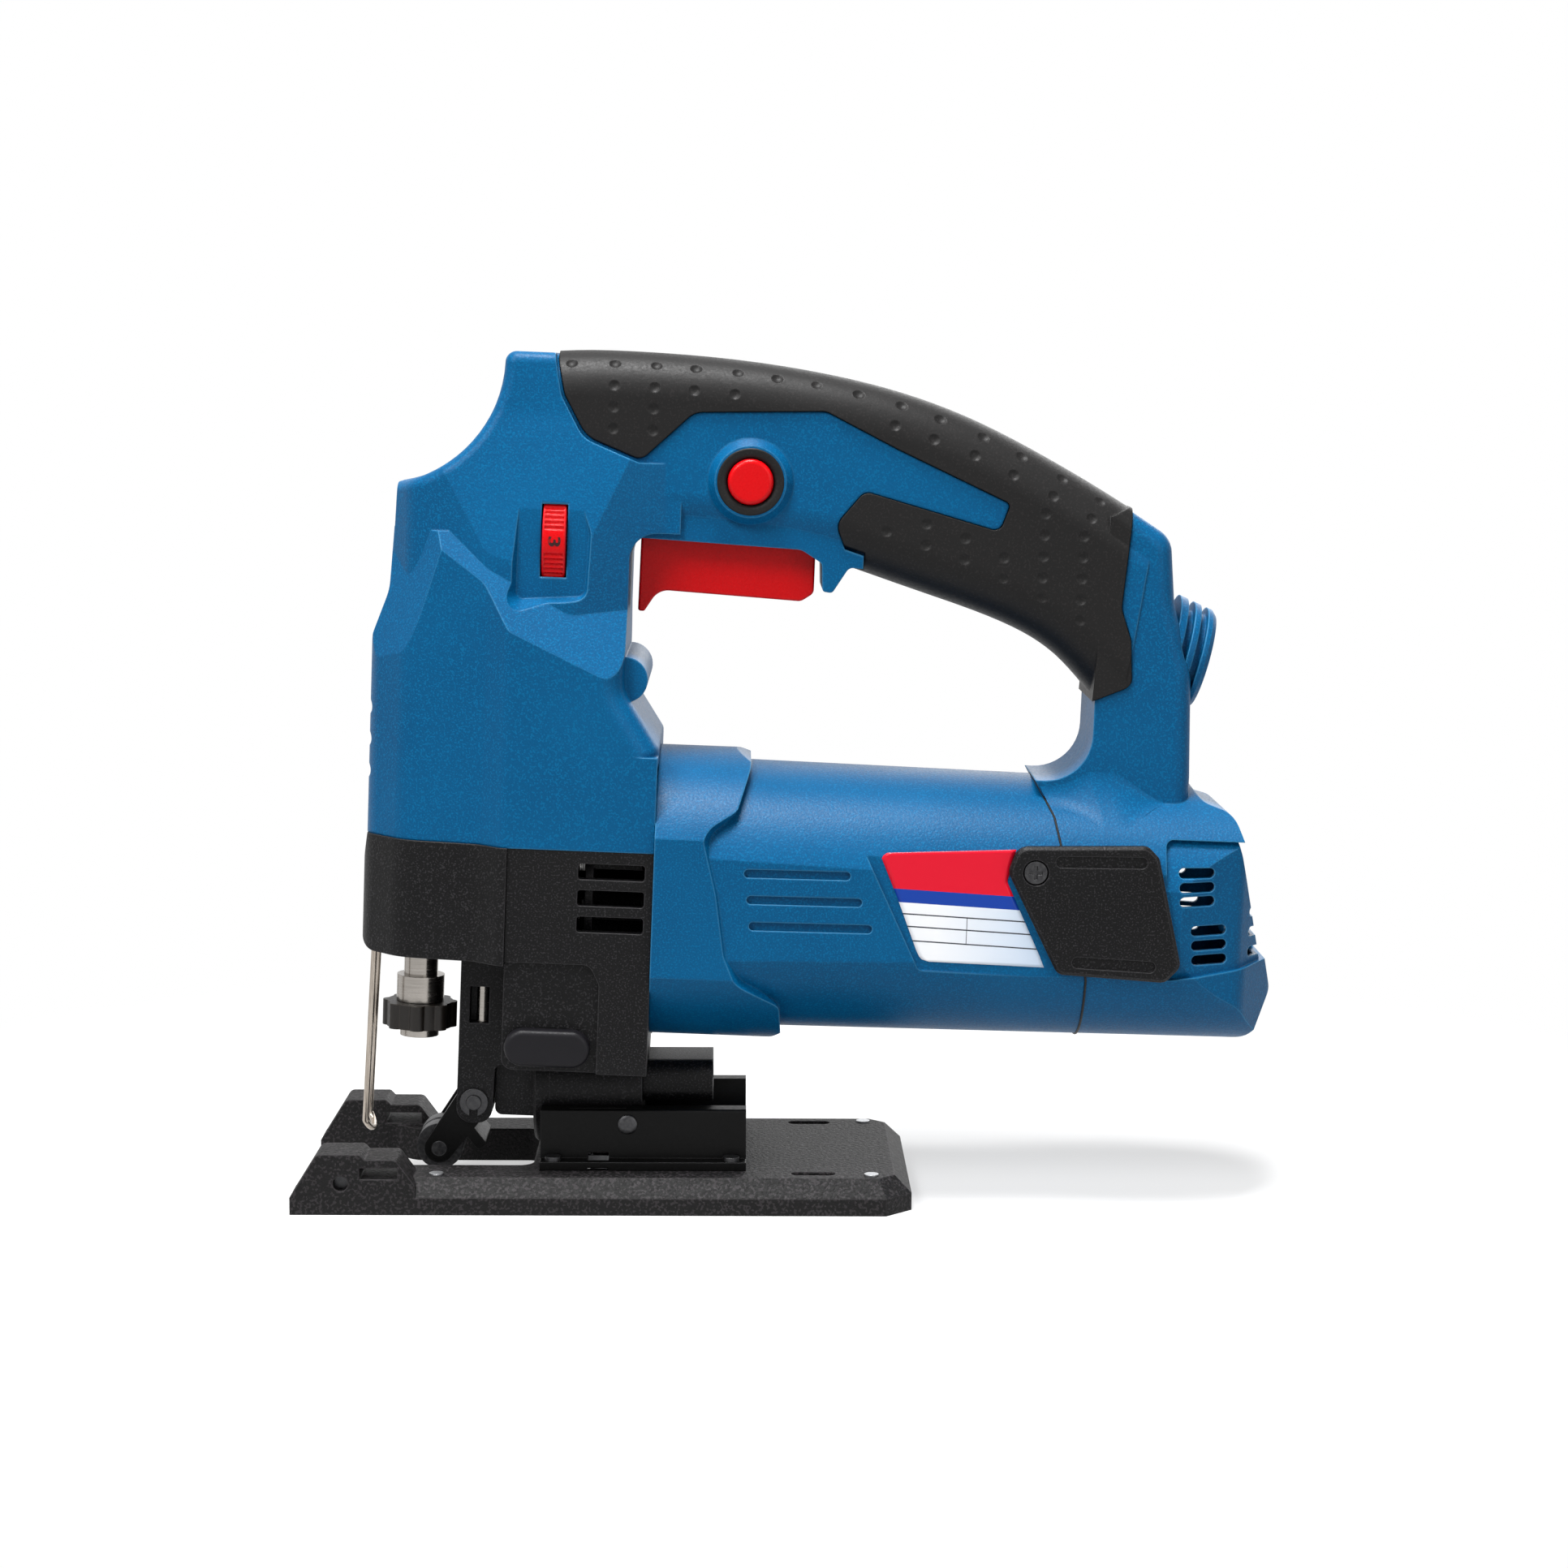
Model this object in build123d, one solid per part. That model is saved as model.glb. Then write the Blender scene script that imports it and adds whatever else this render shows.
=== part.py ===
from build123d import *
import os
from math import acos, cos, pi, radians, sin, sqrt, tan

os.makedirs("parts", exist_ok=True)

# Frame: +Z up from the sole, -X the cutting front, +X the motor tail, Y across. All in mm.
# The body is drawn upright and then pitched back over the base about PITCH_AXIS.
PITCH = 2.0
PITCH_AXIS = Axis((-40, 0, 20), (0, 1, 0))

# Base
BASE_FRONT = -130.4
BASE_REAR = 33.5
BASE_HALF = 39.0
BASE_TOP = 9.1
BASE_EDGE = 4.6
BEVEL_Z = 28.0
TROUGH_R = 17.0
SLOT_ANGLE = 56.0
RIVETS = [(x, y) for x in (-62.0, -14.5) for y in (-24.8, 24.8)]
SOLE_RIVETS = [(x, y) for x in (-92.5, 22.8) for y in (-31.0, 31.0)]

# Motor and gear train
MOTOR_Z = 81.3
BARREL_HALF = 33.5
MODULE = 1.0
PINION_TEETH = 10
GEAR_TEETH = 44
GEAR_Z = MOTOR_Z + MODULE * (PINION_TEETH + GEAR_TEETH) / 2
CRANK_R = 10.0
CRANK_LIFT = 6.0
PLUNGER_X = -100.5
PLUNGER_R = 4.6

# Housings
WALL = 3.0
HOOD_FOOT = 95.4
HEAD_REAR = -37.5
NOSE_SPLIT = -76.0
GRIP_HALF = 17.0
GRIP_PROUD = 0.8
GRIP_BED = 1.6
DIMPLE_R = 2.4
DIMPLE_DEPTH = 0.5
FORK_HALF = 12.6
LEVER_PIVOT = (-84.1, 22.9)
ROLLER_AXLE = (-93.45, 8.93)
SELECTOR_PIVOT = (-57.5, 42.6)
DIAL_CENTRE = (-66.8, -8.5, 175.4)
LOCK_CENTRE = (-16.1, 192.8)
GLAND_END = (107.6, 149.2)
GLAND_SLOPE = 12.9
SHOULDERS = [((-82.9, -32.4, 154.7), (0.235, -0.824, 0.515)), ((-97.0, -24.8, 169.0), (-0.72, -0.67, 0.18))]
SHELL_SCREWS = [(-47.0, 140.0), (-84.0, 192.0), (30.0, 193.5), (88.5, 176.5), (91.5, 123.0), (110.0, 102.0),
                (113.0, 57.0)]


def outline(*corners):
    """Closed face through (u, v, radius) corners, each rounded by its radius."""
    count = len(corners)
    edges = []
    runs = []
    for index, (u, v, radius) in enumerate(corners):
        here = Vector(u, v)
        before = (Vector(*corners[index - 1][:2]) - here).normalized()
        after = (Vector(*corners[(index + 1) % count][:2]) - here).normalized()
        if radius == 0:
            runs.append((here, here))
            continue
        half = radians(before.get_angle(after) / 2)
        reach = radius / tan(half)
        middle = (before + after).normalized()
        start = here + before * reach
        end = here + after * reach
        edges.append(ThreePointArc(start, here + middle * (radius / sin(half) - radius), end))
        runs.append((start, end))
    for index in range(count):
        start = runs[index][1]
        end = runs[(index + 1) % count][0]
        if (end - start).length > 1e-6:
            edges.append(Line(start, end))
    return make_face(edges)


def mirrored(*half):
    """Corners of one half (u, v, radius) with their mirror image across u = 0, in order."""
    return list(half) + [(-u, v, radius) for u, v, radius in reversed(half)]


def grown(face, amount):
    """The face with its edge moved out by an amount, or in where it is negative."""
    return face if amount == 0 else offset(face, amount, kind=Kind.INTERSECTION)


def slab(face, half):
    """Solid of an X-Z outline, half its width either side of the middle plane."""
    return extrude(Plane.XZ * face, amount=half, both=True)


def slab_between(face, y0, y1):
    """Solid of an X-Z outline between two Y planes."""
    return extrude(Plane.XZ.offset(-y1) * face, amount=y1 - y0)


def standing(face, z0, z1):
    """Solid of an X-Y outline between two heights."""
    return extrude(Plane.XY.offset(z0) * face, amount=z1 - z0)


def lengthways(face, x0, x1):
    """Solid of a Y-Z outline between two X planes."""
    return extrude(Plane.YZ.offset(x0) * face, amount=x1 - x0)


def rod(radius, x0, x1, y, z):
    """Cylinder along X."""
    return lengthways(Pos(y, z) * Circle(radius), x0, x1)


def pin(radius, y0, y1, x, z):
    """Cylinder along Y."""
    return slab_between(Pos(x, z) * Circle(radius), y0, y1)


def post(radius, z0, z1, x, y=0.0):
    """Cylinder along Z."""
    return standing(Pos(x, y) * Circle(radius), z0, z1)


def block(x0, x1, y0, y1, z0, z1):
    """Box between planes."""
    return Pos((x0 + x1) / 2, (y0 + y1) / 2, (z0 + z1) / 2) * Box(x1 - x0, y1 - y0, z1 - z0)


def both_sides(solid):
    """The solid with its mirror image across the middle plane."""
    return solid + mirror(solid, about=Plane.XZ)


def beyond(origin, normal):
    """Block that fills the far side of a plane, for cutting a bevel across a corner."""
    return extrude(Plane(origin=origin, z_dir=normal) * Rectangle(160, 160), amount=60)


def save(node, shape, pitched=True):
    """Write one node, pitched with the body unless it belongs to the base."""
    placed = shape.rotate(PITCH_AXIS, PITCH) if pitched else shape
    solids = placed.solids()
    export_step(solids[0] if len(solids) == 1 else Compound(children=solids), f"parts/{node}.step")
    return placed


# Outer forms, each drawn for a given growth so that walls, beds and skins stay parallel
def turned(face):
    """A plan drawn as (across, along) turned so that its length runs along X."""
    return Rot(0, 0, -90) * face


def head_plan():
    """Plan of the lower hood, gear housing and nose, flared behind the nose."""
    return turned(outline(*mirrored((13.0, -115.6, 10), (24.5, -104.0, 13), (27.5, -84.5, 5),
                                    (33.0, -77.5, 4),
                                    (33.0, -25.0, 0))))


def hood_lower(grow):
    """Hood below the dial: upright nose, sloped shoulders, raked foot of the D-opening."""
    side = outline((-114.9, 82, 0), (-114.9, 148.0, 10), (-110.4, 160.5, 14), (-109.9, 177, 0),
                   (-47.1, 177, 0),
                   (-47.1, 137.2, 8), (-37.4, 122.6, 2), (-37.4, 120.6, 0), (-26, 120.6, 0), (-26, 82, 0))
    solid = slab(grown(side, grow), 40) & standing(grown(head_plan(), grow - 0.6), 60, 180)
    if grow == 0:
        rear = solid.edges().filter_by(lambda e: -48 < e.center().X < -37 and abs(e.center().Y) > 24)
        solid = fillet(rear.filter_by(lambda e: 121.5 < e.center().Z < 176), 6.5)
    for origin, normal in SHOULDERS:
        outward = Vector(*normal).normalized()
        solid -= both_sides(beyond(Vector(*origin) + outward * grow, outward))
    return solid


def hood_upper(grow):
    """Hood around the dial: scooped brow, sides drawn in to the handle, a ledge for the rubber."""
    side = outline((-111.0, 140, 0), (-109.1, 190, 0), (-109.1, 224.3, 0), (-68.4, 224.3, 0),
                   (-66.4, 213.3, 6),
                   (-60.3, 202.4, 8), (-45.5, 196.6, 0), (-34, 196.6, 0), (-34, 178.2, 0),
                   (-47.1, 178.2, 7),
                   (-47.1, 140, 0))
    front = outline(*mirrored((25.5, 130, 0), (25.5, 166, 20), (18.6, 208, 30), (17.4, 230, 0)))
    plan = outline(*mirrored((9.0, -110.9, 8), (19.0, -104.0, 11), (24.6, -84.0, 12), (25.5, -62.0, 10),
                             (16.8, -38.0, 8), (16.8, -30.0, 0)))
    solid = slab(grown(side, grow), 40) & lengthways(grown(front, grow), -120, -20)
    solid = solid & standing(grown(turned(plan), grow), 130, 240)
    solid -= pin(34.0 - grow, -60, 60, -115.4, 222.2)
    brow = solid.edges().filter_by(lambda e: e.center().Z > 189 and -107 < e.center().X < -69)
    return fillet(brow, 3.0) if grow == 0 else solid


def pushed_out(points, amount):
    """Points moved to the left of their line of travel by an amount."""
    moved = []
    for index, point in enumerate(points):
        ahead = points[min(index + 1, len(points) - 1)]
        behind = points[max(index - 1, 0)]
        along = (Vector(*ahead) - Vector(*behind)).normalized()
        moved.append(Vector(*point) + Vector(-along.Y, along.X) * amount)
    return moved


def grip_bar(grow):
    """Hand grip of the D-handle: a curved bar with well rounded edges."""
    top = pushed_out([(-78, 222.6), (-62, 224.5), (-46, 224.7), (-22, 223.7), (0, 221.3), (20, 217.5),
                      (40, 211.3),
                      (60, 202.3), (76, 193.9), (91, 185.2)], grow)
    foot = pushed_out([(84, 132), (72, 146.5), (64, 153), (52, 158.9), (34, 164.8), (14, 170.9), (0, 174.8),
                       (-20, 177.2), (-40, 178.3), (-64, 178.3)], grow)
    face = make_face([Spline(*top), Line(top[-1], foot[0]), Spline(*foot), Line(foot[-1], top[0])])
    bar = slab(face, GRIP_HALF + grow)
    return fillet(bar.edges().filter_by(GeomType.BSPLINE), 11.0 + grow)


def rear_column(grow):
    """Column that joins the grip to the rear cap, with the curve of the D-opening at its foot."""
    side = outline((62.0, 116.8, 0), (77.4, 116.8, 12.5), (77.4, 138, 0), (80, 187, 0), (84.5, 189.2, 0),
                   (95.8, 182.3, 7), (97.6, 165, 20), (103.0, 146.5, 14), (104.2, 119, 0), (104.2, 104, 0),
                   (70, 104, 0), (62, 110, 0))
    column = slab(grown(side, grow), 16.6 + grow)
    rim = column.edges().filter_by(lambda e: abs(e.center().Y) > 10 and e.center().X > 86 and e.center().Z > 105)
    return fillet(rim, 4.5 + grow) if grow > -3 else column


def barrel(grow, x0, x1):
    """Motor barrel: a slightly tapered tube with flattened flanks."""
    front_r = 36.3 + grow - 0.0108 * (x0 + 37.5)
    rear_r = 36.3 + grow - 0.0108 * (x1 + 37.5)
    profile = make_face(Polyline((x0, 0), (x0, front_r), (x1, rear_r), (x1, 0), close=True))
    cone = revolve(Plane.XZ * profile, axis=Axis.X).moved(Pos(0, 0, MOTOR_Z))
    return cone & block(x0 - 1, x1 + 1, -BARREL_HALF - grow, BARREL_HALF + grow, 20, 140)


def rear_cap(grow):
    """Tail of the housing: the barrel drawn in to a raked back."""
    side = outline((40, 117.5, 0), (104.6, 117.5, 2), (107.6, 112.6, 6), (115.6, 110.2, 6), (119.3, 100, 9),
                   (129.3, 62, 4), (122.6, 47.6, 5), (40, 40, 0))
    plan = outline(*mirrored((BARREL_HALF + 2, 30, 0), (BARREL_HALF + 2, 97, 9), (26.5, 119, 8),
                             (10, 130.1, 12)))
    solid = barrel(grow, 40, 135) & slab(grown(side, grow), 60)
    return solid & standing(grown(turned(plan), grow), 20, 140)


def seam(side_sign):
    """Everything ahead of the raked seam between motor housing and rear cap, or behind it."""
    far = 200 * side_sign
    line = [(59.5, 126), (62.6, 117), (67.6, 108), (69.2, 101), (77.2, 66), (78.4, 30)]
    return slab(make_face(Polyline((far, 126), *line, (far, 30), close=True)), 60)


# Clamshell halves
def rubber_zone(margin):
    """Side outline of the rubber on the handle, with the blue tongue left bare."""
    return grown(outline((-67.5, 222.4, 0), (-65.4, 213.5, 6), (-59.5, 203.0, 8), (-45.0, 197.4, 3),
                         (-31.5, 210.4, 6),
                         (3.0, 212.0, 4), (22.0, 203.0, 0), (52.6, 189.8, 1.6), (50.0, 182.2, 2.5),
                         (14.0, 191.4, 3),
                         (6.9, 182.5, 4), (12.0, 170.4, 0), (16, 140, 0), (72, 120, 0), (74.5, 137.6, 0),
                         (86.9, 143.0, 3), (86.0, 155.0, 5), (83.0, 163.4, 5), (85.0, 190.0, 0),
                         (88, 240, 0),
                         (-68, 240, 0)), margin)


def handle_form(grow):
    """The grip bar and its column, as one body."""
    return grip_bar(grow) + rear_column(grow)


def trigger_cheeks(grow):
    """Flat cheeks that guard the trigger, with the finger hook behind it."""
    side = outline((-54, 205, 0), (-54, 177.2, 0), (-2.0, 175.4, 4), (3.6, 172.0, 1.5), (4.0, 164.6, 0.9),
                   (6.6, 164.3, 1.2), (10.8, 171.2, 2), (14.5, 171.0, 0), (14.5, 205, 0))
    return slab(grown(side, grow), 15.4 + grow)


gland_place = Pos(GLAND_END[0], 0, GLAND_END[1]) * Rot(0, GLAND_SLOPE, 0)
gland_profile = make_face(Polyline((-24, 0), (-24, 9), (-10.6, 9), (-10.6, 15.4), (-1.2, 13.8), (0, 12.6),
                                   (0, 0),
                                   close=True))
gland_blank = gland_place * revolve(Plane.XZ * gland_profile, axis=Axis.X)
gland_grooves = [gland_place * (rod(20, x, x + 2.0, 0, 0) - rod(12.0, x, x + 2.0, 0, 0))
                 for x in (-8.4, -4.6)]
cord_gland = gland_blank - gland_grooves - gland_place * rod(4.2, -30, 5, 0, 0)

outer = hood_lower(0) + hood_upper(0) + rear_cap(0) + handle_form(0) + trigger_cheeks(0)
outer += slab(Pos(*SHELL_SCREWS[0]) * Circle(6.0), 24)
cavity = hood_lower(-WALL) + hood_upper(-WALL) + rear_cap(-WALL) + grip_bar(-3.6) + rear_column(-3.6)
rubber_bed = (slab(rubber_zone(0.2), 30) & handle_form(GRIP_PROUD + 0.2)) - handle_form(-GRIP_BED)
head_keep = block(-130, HEAD_REAR, -50, 50, HOOD_FOOT, 240) + block(HEAD_REAR, 60, -50, 50, 118, 240)
body_keep = head_keep + (seam(1) + block(59, 140, -50, 50, 118, 240))
band = outline((16.0, 101.2, 0), (60.0, 103.2, 0), (112.0, 104.8, 2), (122.0, 68.0, 3), (118.0, 65.6, 0),
               (33.0, 67.2, 2))
flank_band = both_sides(slab_between(band, -40, -BARREL_HALF + 1.5))


def screw_boss(x, z, radius):
    """Round post across the housing at a clamshell screw, kept inside the outer form."""
    return slab(Pos(x, z) * Circle(radius), 32) & outer


def vent(x, z, length):
    """One rounded side vent slot, cut square to the flank."""
    return slab_between(Pos(x, z) * Rot(0, 0, 2) * SlotOverall(length, 2.7), -40, -20)


ribs = [block(x, x + 2, -15, 15, 203, 217) - block(x - 1, x + 3, -7.0, 7.0, 180, 230)
        for x in (-38.0, -6.0)]
dial_recess = outline((-76.0, 200.0, 3), (-76.4, 160.0, 2), (-58.4, 161.4, 2), (-57.6, 178.0, 6),
                      (-64.0, 200.0, 3))
shell = outer - cavity
shell += slab_between(grown(dial_recess, 3.0), -31.0, -20.6) & outer
shell += [screw_boss(x, z, 4.6) for x, z in SHELL_SCREWS]
shell += ribs
shell += slab_between(Pos(-60, 175.5) * Rectangle(3.0, 20.0), -22, -18.0) & outer
shell -= seam(-1) - block(-140, HEAD_REAR, -60, 60, 80, 240) - block(-140, 200, -60, 60, 121.0, 240)
shell &= body_keep
shell -= rubber_bed
shell -= flank_band
vent_zone = outline((97.0, 103.6, 2), (140.0, 103.6, 0), (140.0, 72.6, 0), (97.0, 66.6, 2))
shell -= slab(vent_zone, 60) - rear_cap(-1.5)
side_vents = [vent(105.2 + 0.2 * row, 95.4 - 3.7 * row, 9.6) for row in range(3)]
side_vents += [vent(109.2 + 0.3 * row, 80.2 - 3.9 * row, 9.8) for row in range(3)]
shell -= [both_sides(slot) for slot in side_vents]
back_vents = [lengthways(Pos(13, z) * SlotOverall(15, 2.7), 106, 136) for z in (95, 89.6, 84.2, 78.8, 73.4)]
shell -= [both_sides(slot) for slot in back_vents]
trigger_slot = block(-45.3, 2.6, -9.3, 9.3, 150, 189)
shell -= trigger_slot
shell -= extrude(Plane.XZ.offset(22.6) * dial_recess, amount=12, taper=-26)
shell -= rod(16.9, -70.25, -63.35, DIAL_CENTRE[1], DIAL_CENTRE[2])
cover_edge = outline((57.6, 101.2, 4), (91.5, 102.6, 3), (94.6, 99.6, 3), (101.8, 71.0, 3),
                     (97.8, 66.6, 3), (69.4, 67.8, 3),
                     (55.2, 94.4, 4))
brush_window = both_sides(slab_between(grown(cover_edge, -5), -40, -20)) - block(50, 70, -50, 50, 88, 110)
shell -= brush_window
lock_ring = revolve(Plane.XZ * make_face(Polyline((0, 15.5), (11.3, 15.5), (11.3, 17.2), (9.4, 19.4),
                                                  (7.4, 19.4), (6.4, 18.2),
                                                  (0, 18.2), close=True)), axis=Axis.Z)
shell += Pos(LOCK_CENTRE[0], 0, LOCK_CENTRE[1]) * Rot(90, 0, 0) * lock_ring
shell -= pin(6.3, -30, 0, *LOCK_CENTRE)
shell -= gland_blank
shell -= [pin(3.0, -40, 40, -117.2, z) for z in (112.0, 120.5, 129.0)]
shell -= [pin(1.6, -14, 40, x, z) for x, z in SHELL_SCREWS]
shell -= [pin(3.6, 8, 40, x, z) for x, z in SHELL_SCREWS]
left_shell = max((shell & block(-150, 150, -60, 0, 0, 260)).solids(), key=lambda part: part.volume)
right_shell = max((shell & block(-150, 150, 0, 60, 0, 260)).solids(), key=lambda part: part.volume)
save("left_shell", left_shell)
save("right_shell", right_shell)
save("cord_gland", cord_gland)

def cross(y0, y1, x, z, size):
    """Cross recess cut into a screw head between two Y planes."""
    return slab_between(Pos(x, z) * (Rectangle(size, size / 4) + Rectangle(size / 4, size)), y0, y1)


shell_screws = [pin(3.4, 8.0, 10.6, x, z) + pin(1.6, -13, 8.0, x, z) - cross(9.4, 11, x, z, 3.6)
                for x, z in SHELL_SCREWS]
save("shell_screws", Compound(children=[part.solids()[0] for part in shell_screws]))

rubber = slab(rubber_zone(0), 30) & (handle_form(GRIP_PROUD) - handle_form(-GRIP_BED))
rubber -= trigger_cheeks(0.3)
top_line = [(-78, 223.4), (-62, 225.3), (-46, 225.5), (-22, 224.5), (0, 222.1), (20, 218.3), (40, 212.1),
            (60, 203.1),
            (76, 194.7), (91, 186.0)]
foot_line = [(-64, 177.5), (-20, 176.4), (0, 174.0), (14, 170.1), (34, 164.0), (52, 158.1), (64, 152.2),
             (72, 145.7)]


def height_on(line, x):
    """Height of a polyline at x, and its slope there."""
    for (x0, z0), (x1, z1) in zip(line, line[1:]):
        if x0 <= x <= x1:
            return z0 + (z1 - z0) * (x - x0) / (x1 - x0), (z1 - z0) / (x1 - x0)
    return line[-1][1], 0.0


def dimple(x, z):
    """Ball that leaves a round dimple in the rubber's side or in its rounded upper edge."""
    edge_r = 11.0 + GRIP_PROUD
    top, slope = height_on(top_line, x)
    lean = sqrt(1 + slope ** 2)
    up = max(0.0, edge_r - (top - z) / lean) / edge_r
    outwards = sqrt(1 - up ** 2)
    reach = edge_r + DIMPLE_R - DIMPLE_DEPTH
    inner = top - edge_r * lean
    base_z = inner if up > 0 else z
    y = GRIP_HALF + GRIP_PROUD - edge_r + reach * outwards
    return Pos(x - slope / lean * up * reach, -y, base_z + up * reach / lean) * Sphere(DIMPLE_R)


dimple_field = grown(rubber_zone(0), -3.2)
dimples = []
for column in range(15):
    x = -63.0 + 10.4 * column
    top = height_on(top_line, x)[0]
    for row in range(9):
        z = top - 3.4 - 5.6 * row
        foot = height_on(foot_line, x)[0]
        if z > foot + 5 and x < 82 and dimple_field.is_inside(Vector(x, z)):
            dimples.append(dimple(x, z))
rubber -= [both_sides(ball) for ball in dimples]
left_rubber = (rubber & block(-150, 150, -60, 0, 0, 260)).solids()
save("left_grip_pad", max(left_rubber, key=lambda part: part.volume))
right_rubber = (rubber & block(-150, 150, 0, 60, 0, 260)).solids()
save("right_grip_pad", max(right_rubber, key=lambda part: part.volume))

# Motor housing
collar_side = outline((-48, 125, 0), (-13.0, 125, 0), (-13.0, 117, 0), (-16.4, 106.5, 5), (-22.4, 101.0, 4),
                      (-18.4, 86.0, 8), (-15.8, 70.0, 6), (-12.6, 62.6, 5), (-3.2, 55.6, 4),
                      (-1.4, 36.0, 0),
                      (-48, 36, 0))
collar = slab(collar_side, 29.0)
collar += both_sides(extrude(Plane.XZ.offset(29.0) * collar_side, amount=5.6, taper=26))
collar &= rod(39.2, HEAD_REAR, 0, 0, MOTOR_Z)
collar -= beyond((-17.0, 0, 120.6), (0.5, 0, 0.87)) + beyond((-6.2, 0, 42.0), (0.7, 0, -0.7))
motor_housing = barrel(0, HEAD_REAR, 90) + collar
motor_housing &= seam(-1)
motor_housing -= rod(33.0, HEAD_REAR - 1, -16, 0, MOTOR_Z) & block(-60, 0, -31, 31, 20, 140)
motor_housing -= rod(31.5, -16, 38, 0, MOTOR_Z) & block(-60, 60, -30.5, 30.5, 20, 140)
motor_housing -= rod(31.0, 38, 95, 0, MOTOR_Z) & block(0, 99, -30.0, 30.0, 20, 140)
tail_frame = rod(29.0, 48, 98.5, 0, MOTOR_Z) - rod(26.0, 40, 90.5, 0, MOTOR_Z) - rod(9.5, 80, 120, 0,
                                                                                     MOTOR_Z)
tail_frame += rod(31.3, 44, 48, 0, MOTOR_Z) - rod(26.0, 40, 49, 0, MOTOR_Z)
tail_frame -= [rod(4.0, 89, 100, 18 * cos(radians(a)), MOTOR_Z + 18 * sin(radians(a)))
               for a in range(30, 390, 60)]
tail_frame -= block(66.0, 76.0, -40, 40, MOTOR_Z - 5.0, MOTOR_Z + 5.0)
motor_housing += tail_frame & (barrel(-0.5, HEAD_REAR, 99) + rod(29.0, 48, 98.5, 0, MOTOR_Z))
motor_housing += both_sides(pin(3.8, -33.0, -27.5, 62.4, 94.6))
motor_housing -= flank_band
motor_housing -= brush_window
groove_rows = ((0.1, 91.5, 27.8), (2.2, 84.55, 30.2), (4.1, 77.6, 32.3))
grooves = [slab_between(Pos(x, z) * Rot(0, 0, 0.7) * SlotOverall(length, 2.2), -40, -32.3) for x, z,
           length in groove_rows]
motor_housing -= [both_sides(groove) for groove in grooves]
motor_housing -= both_sides(pin(1.3, -40, -24, 62.4, 94.6))
motor_housing = max(motor_housing.solids(), key=lambda part: part.volume)
save("motor_housing", motor_housing)

brush_cover = slab_between(grown(cover_edge, 0), -34.6, -32.0)
brush_cover = chamfer(brush_cover.faces().sort_by(Axis.Y)[0].edges(), 0.8)
brush_cover -= pin(3.4, -40, -33.2, 62.4, 94.6) + pin(1.5, -40, -20, 62.4, 94.6)
brush_cover -= slab_between(Pos(79.5, 98.0) * Rot(0, 0, 1.5) * SlotOverall(24, 3.0), -40, -33.8)
brush_cover -= slab_between(Pos(84.0, 71.0) * Rot(0, 0, -1.5) * SlotOverall(22, 3.0), -40, -33.8)
save("left_brush_cover", brush_cover)
save("right_brush_cover", mirror(brush_cover, about=Plane.XZ))
cover_screw = pin(3.0, -34.4, -33.2, 62.4, 94.6) + pin(1.3, -33.2, -25.0, 62.4, 94.6)
cover_screw -= cross(-35, -33.7, 62.4, 94.6, 3.6)
save("brush_cover_screws",
     Compound(children=[cover_screw.solids()[0], mirror(cover_screw, about=Plane.XZ).solids()[0]]))

# Gear housing: the black block, its bulkhead and the arms that guide the plunger
head_column = standing(grown(head_plan(), -0.8), 20, 200)
housing_side = outline((NOSE_SPLIT, HOOD_FOOT, 0), (NOSE_SPLIT, 36.0, 3), (HEAD_REAR, 36.0, 0),
                       (HEAD_REAR, HOOD_FOOT, 0))
gear_housing = slab(housing_side, 40) & head_column
gear_housing += lengthways(Pos(0, MOTOR_Z) * Circle(31.4), -58, HEAD_REAR) & block(-60, -30, -29.6, 29.6,
                                                                                   60, 120)
bulkhead = outline(*mirrored((22.0, 60, 0), (24.0, 120, 8), (11.5, 157, 2)))
gear_housing += lengthways(bulkhead, -66, -58)
upper_arm = outline((-62, 11.5, 0), (-107.6, 11.5, 8), (-107.6, -11.5, 8), (-62, -11.5, 0))
lower_arm = outline((-62, 11.5, 0), (-109.5, 11.5, 8), (-109.5, -11.5, 8), (-62, -11.5, 0))
gear_housing += standing(upper_arm, 147, 157)
leg = outline((-74, 66.5, 0), (-88.4, 66.5, 2), (-88.7, 18.0, 4), (-79.4, 18.0, 4), (-79.0, 33, 3),
              (-74, 36.5, 0))
fork = outline((-74, 66.5, 0), (-88.6, 66.5, 2), (-88.8, 17.2, 4), (-79.2, 17.2, 4), (-78.8, 33, 2),
               (-74, 34, 0))
gear_housing += slab(leg, 6.5) + slab(fork, FORK_HALF)
gear_housing -= both_sides(block(-95, -60, -9.8, -6.5, 10, 32.0)) - block(-78.8, -60, -40, 40, 10, 40)
gear_housing += slab(outline((-78.6, 38, 0), (-78.6, 19.0, 2), (-60, 19.0, 0), (-60, 38, 0)), 9.5)
gear_housing -= rod(29.4, -58, -30, 0, MOTOR_Z)
gear_housing -= block(-82, -66, -26, 26, 73.5, 140)
gear_housing -= rod(11.0, -65, -50, 0, MOTOR_Z) + rod(6.0, -70, -60, 0, MOTOR_Z)
gear_housing -= rod(5.0, -70, -57, 0, GEAR_Z)
gear_housing -= post(6.0, 60, 160, PLUNGER_X)
gear_housing -= both_sides(block(-86.0, -80.8, -20, -8.0, 44.6, 54.6))
gear_housing -= pin(2.0, -20, 20, *LEVER_PIVOT)
selector_panel = outline((-80, 65.2, 0), (-53.5, 65.2, 3), (-50.8, 60.0, 3), (-50.8, 34, 0), (-80, 34, 0))
gear_housing -= slab_between(selector_panel, -40, -30.0)
gear_housing -= pin(4.05, -40, -21.7, *SELECTOR_PIVOT)
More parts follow.
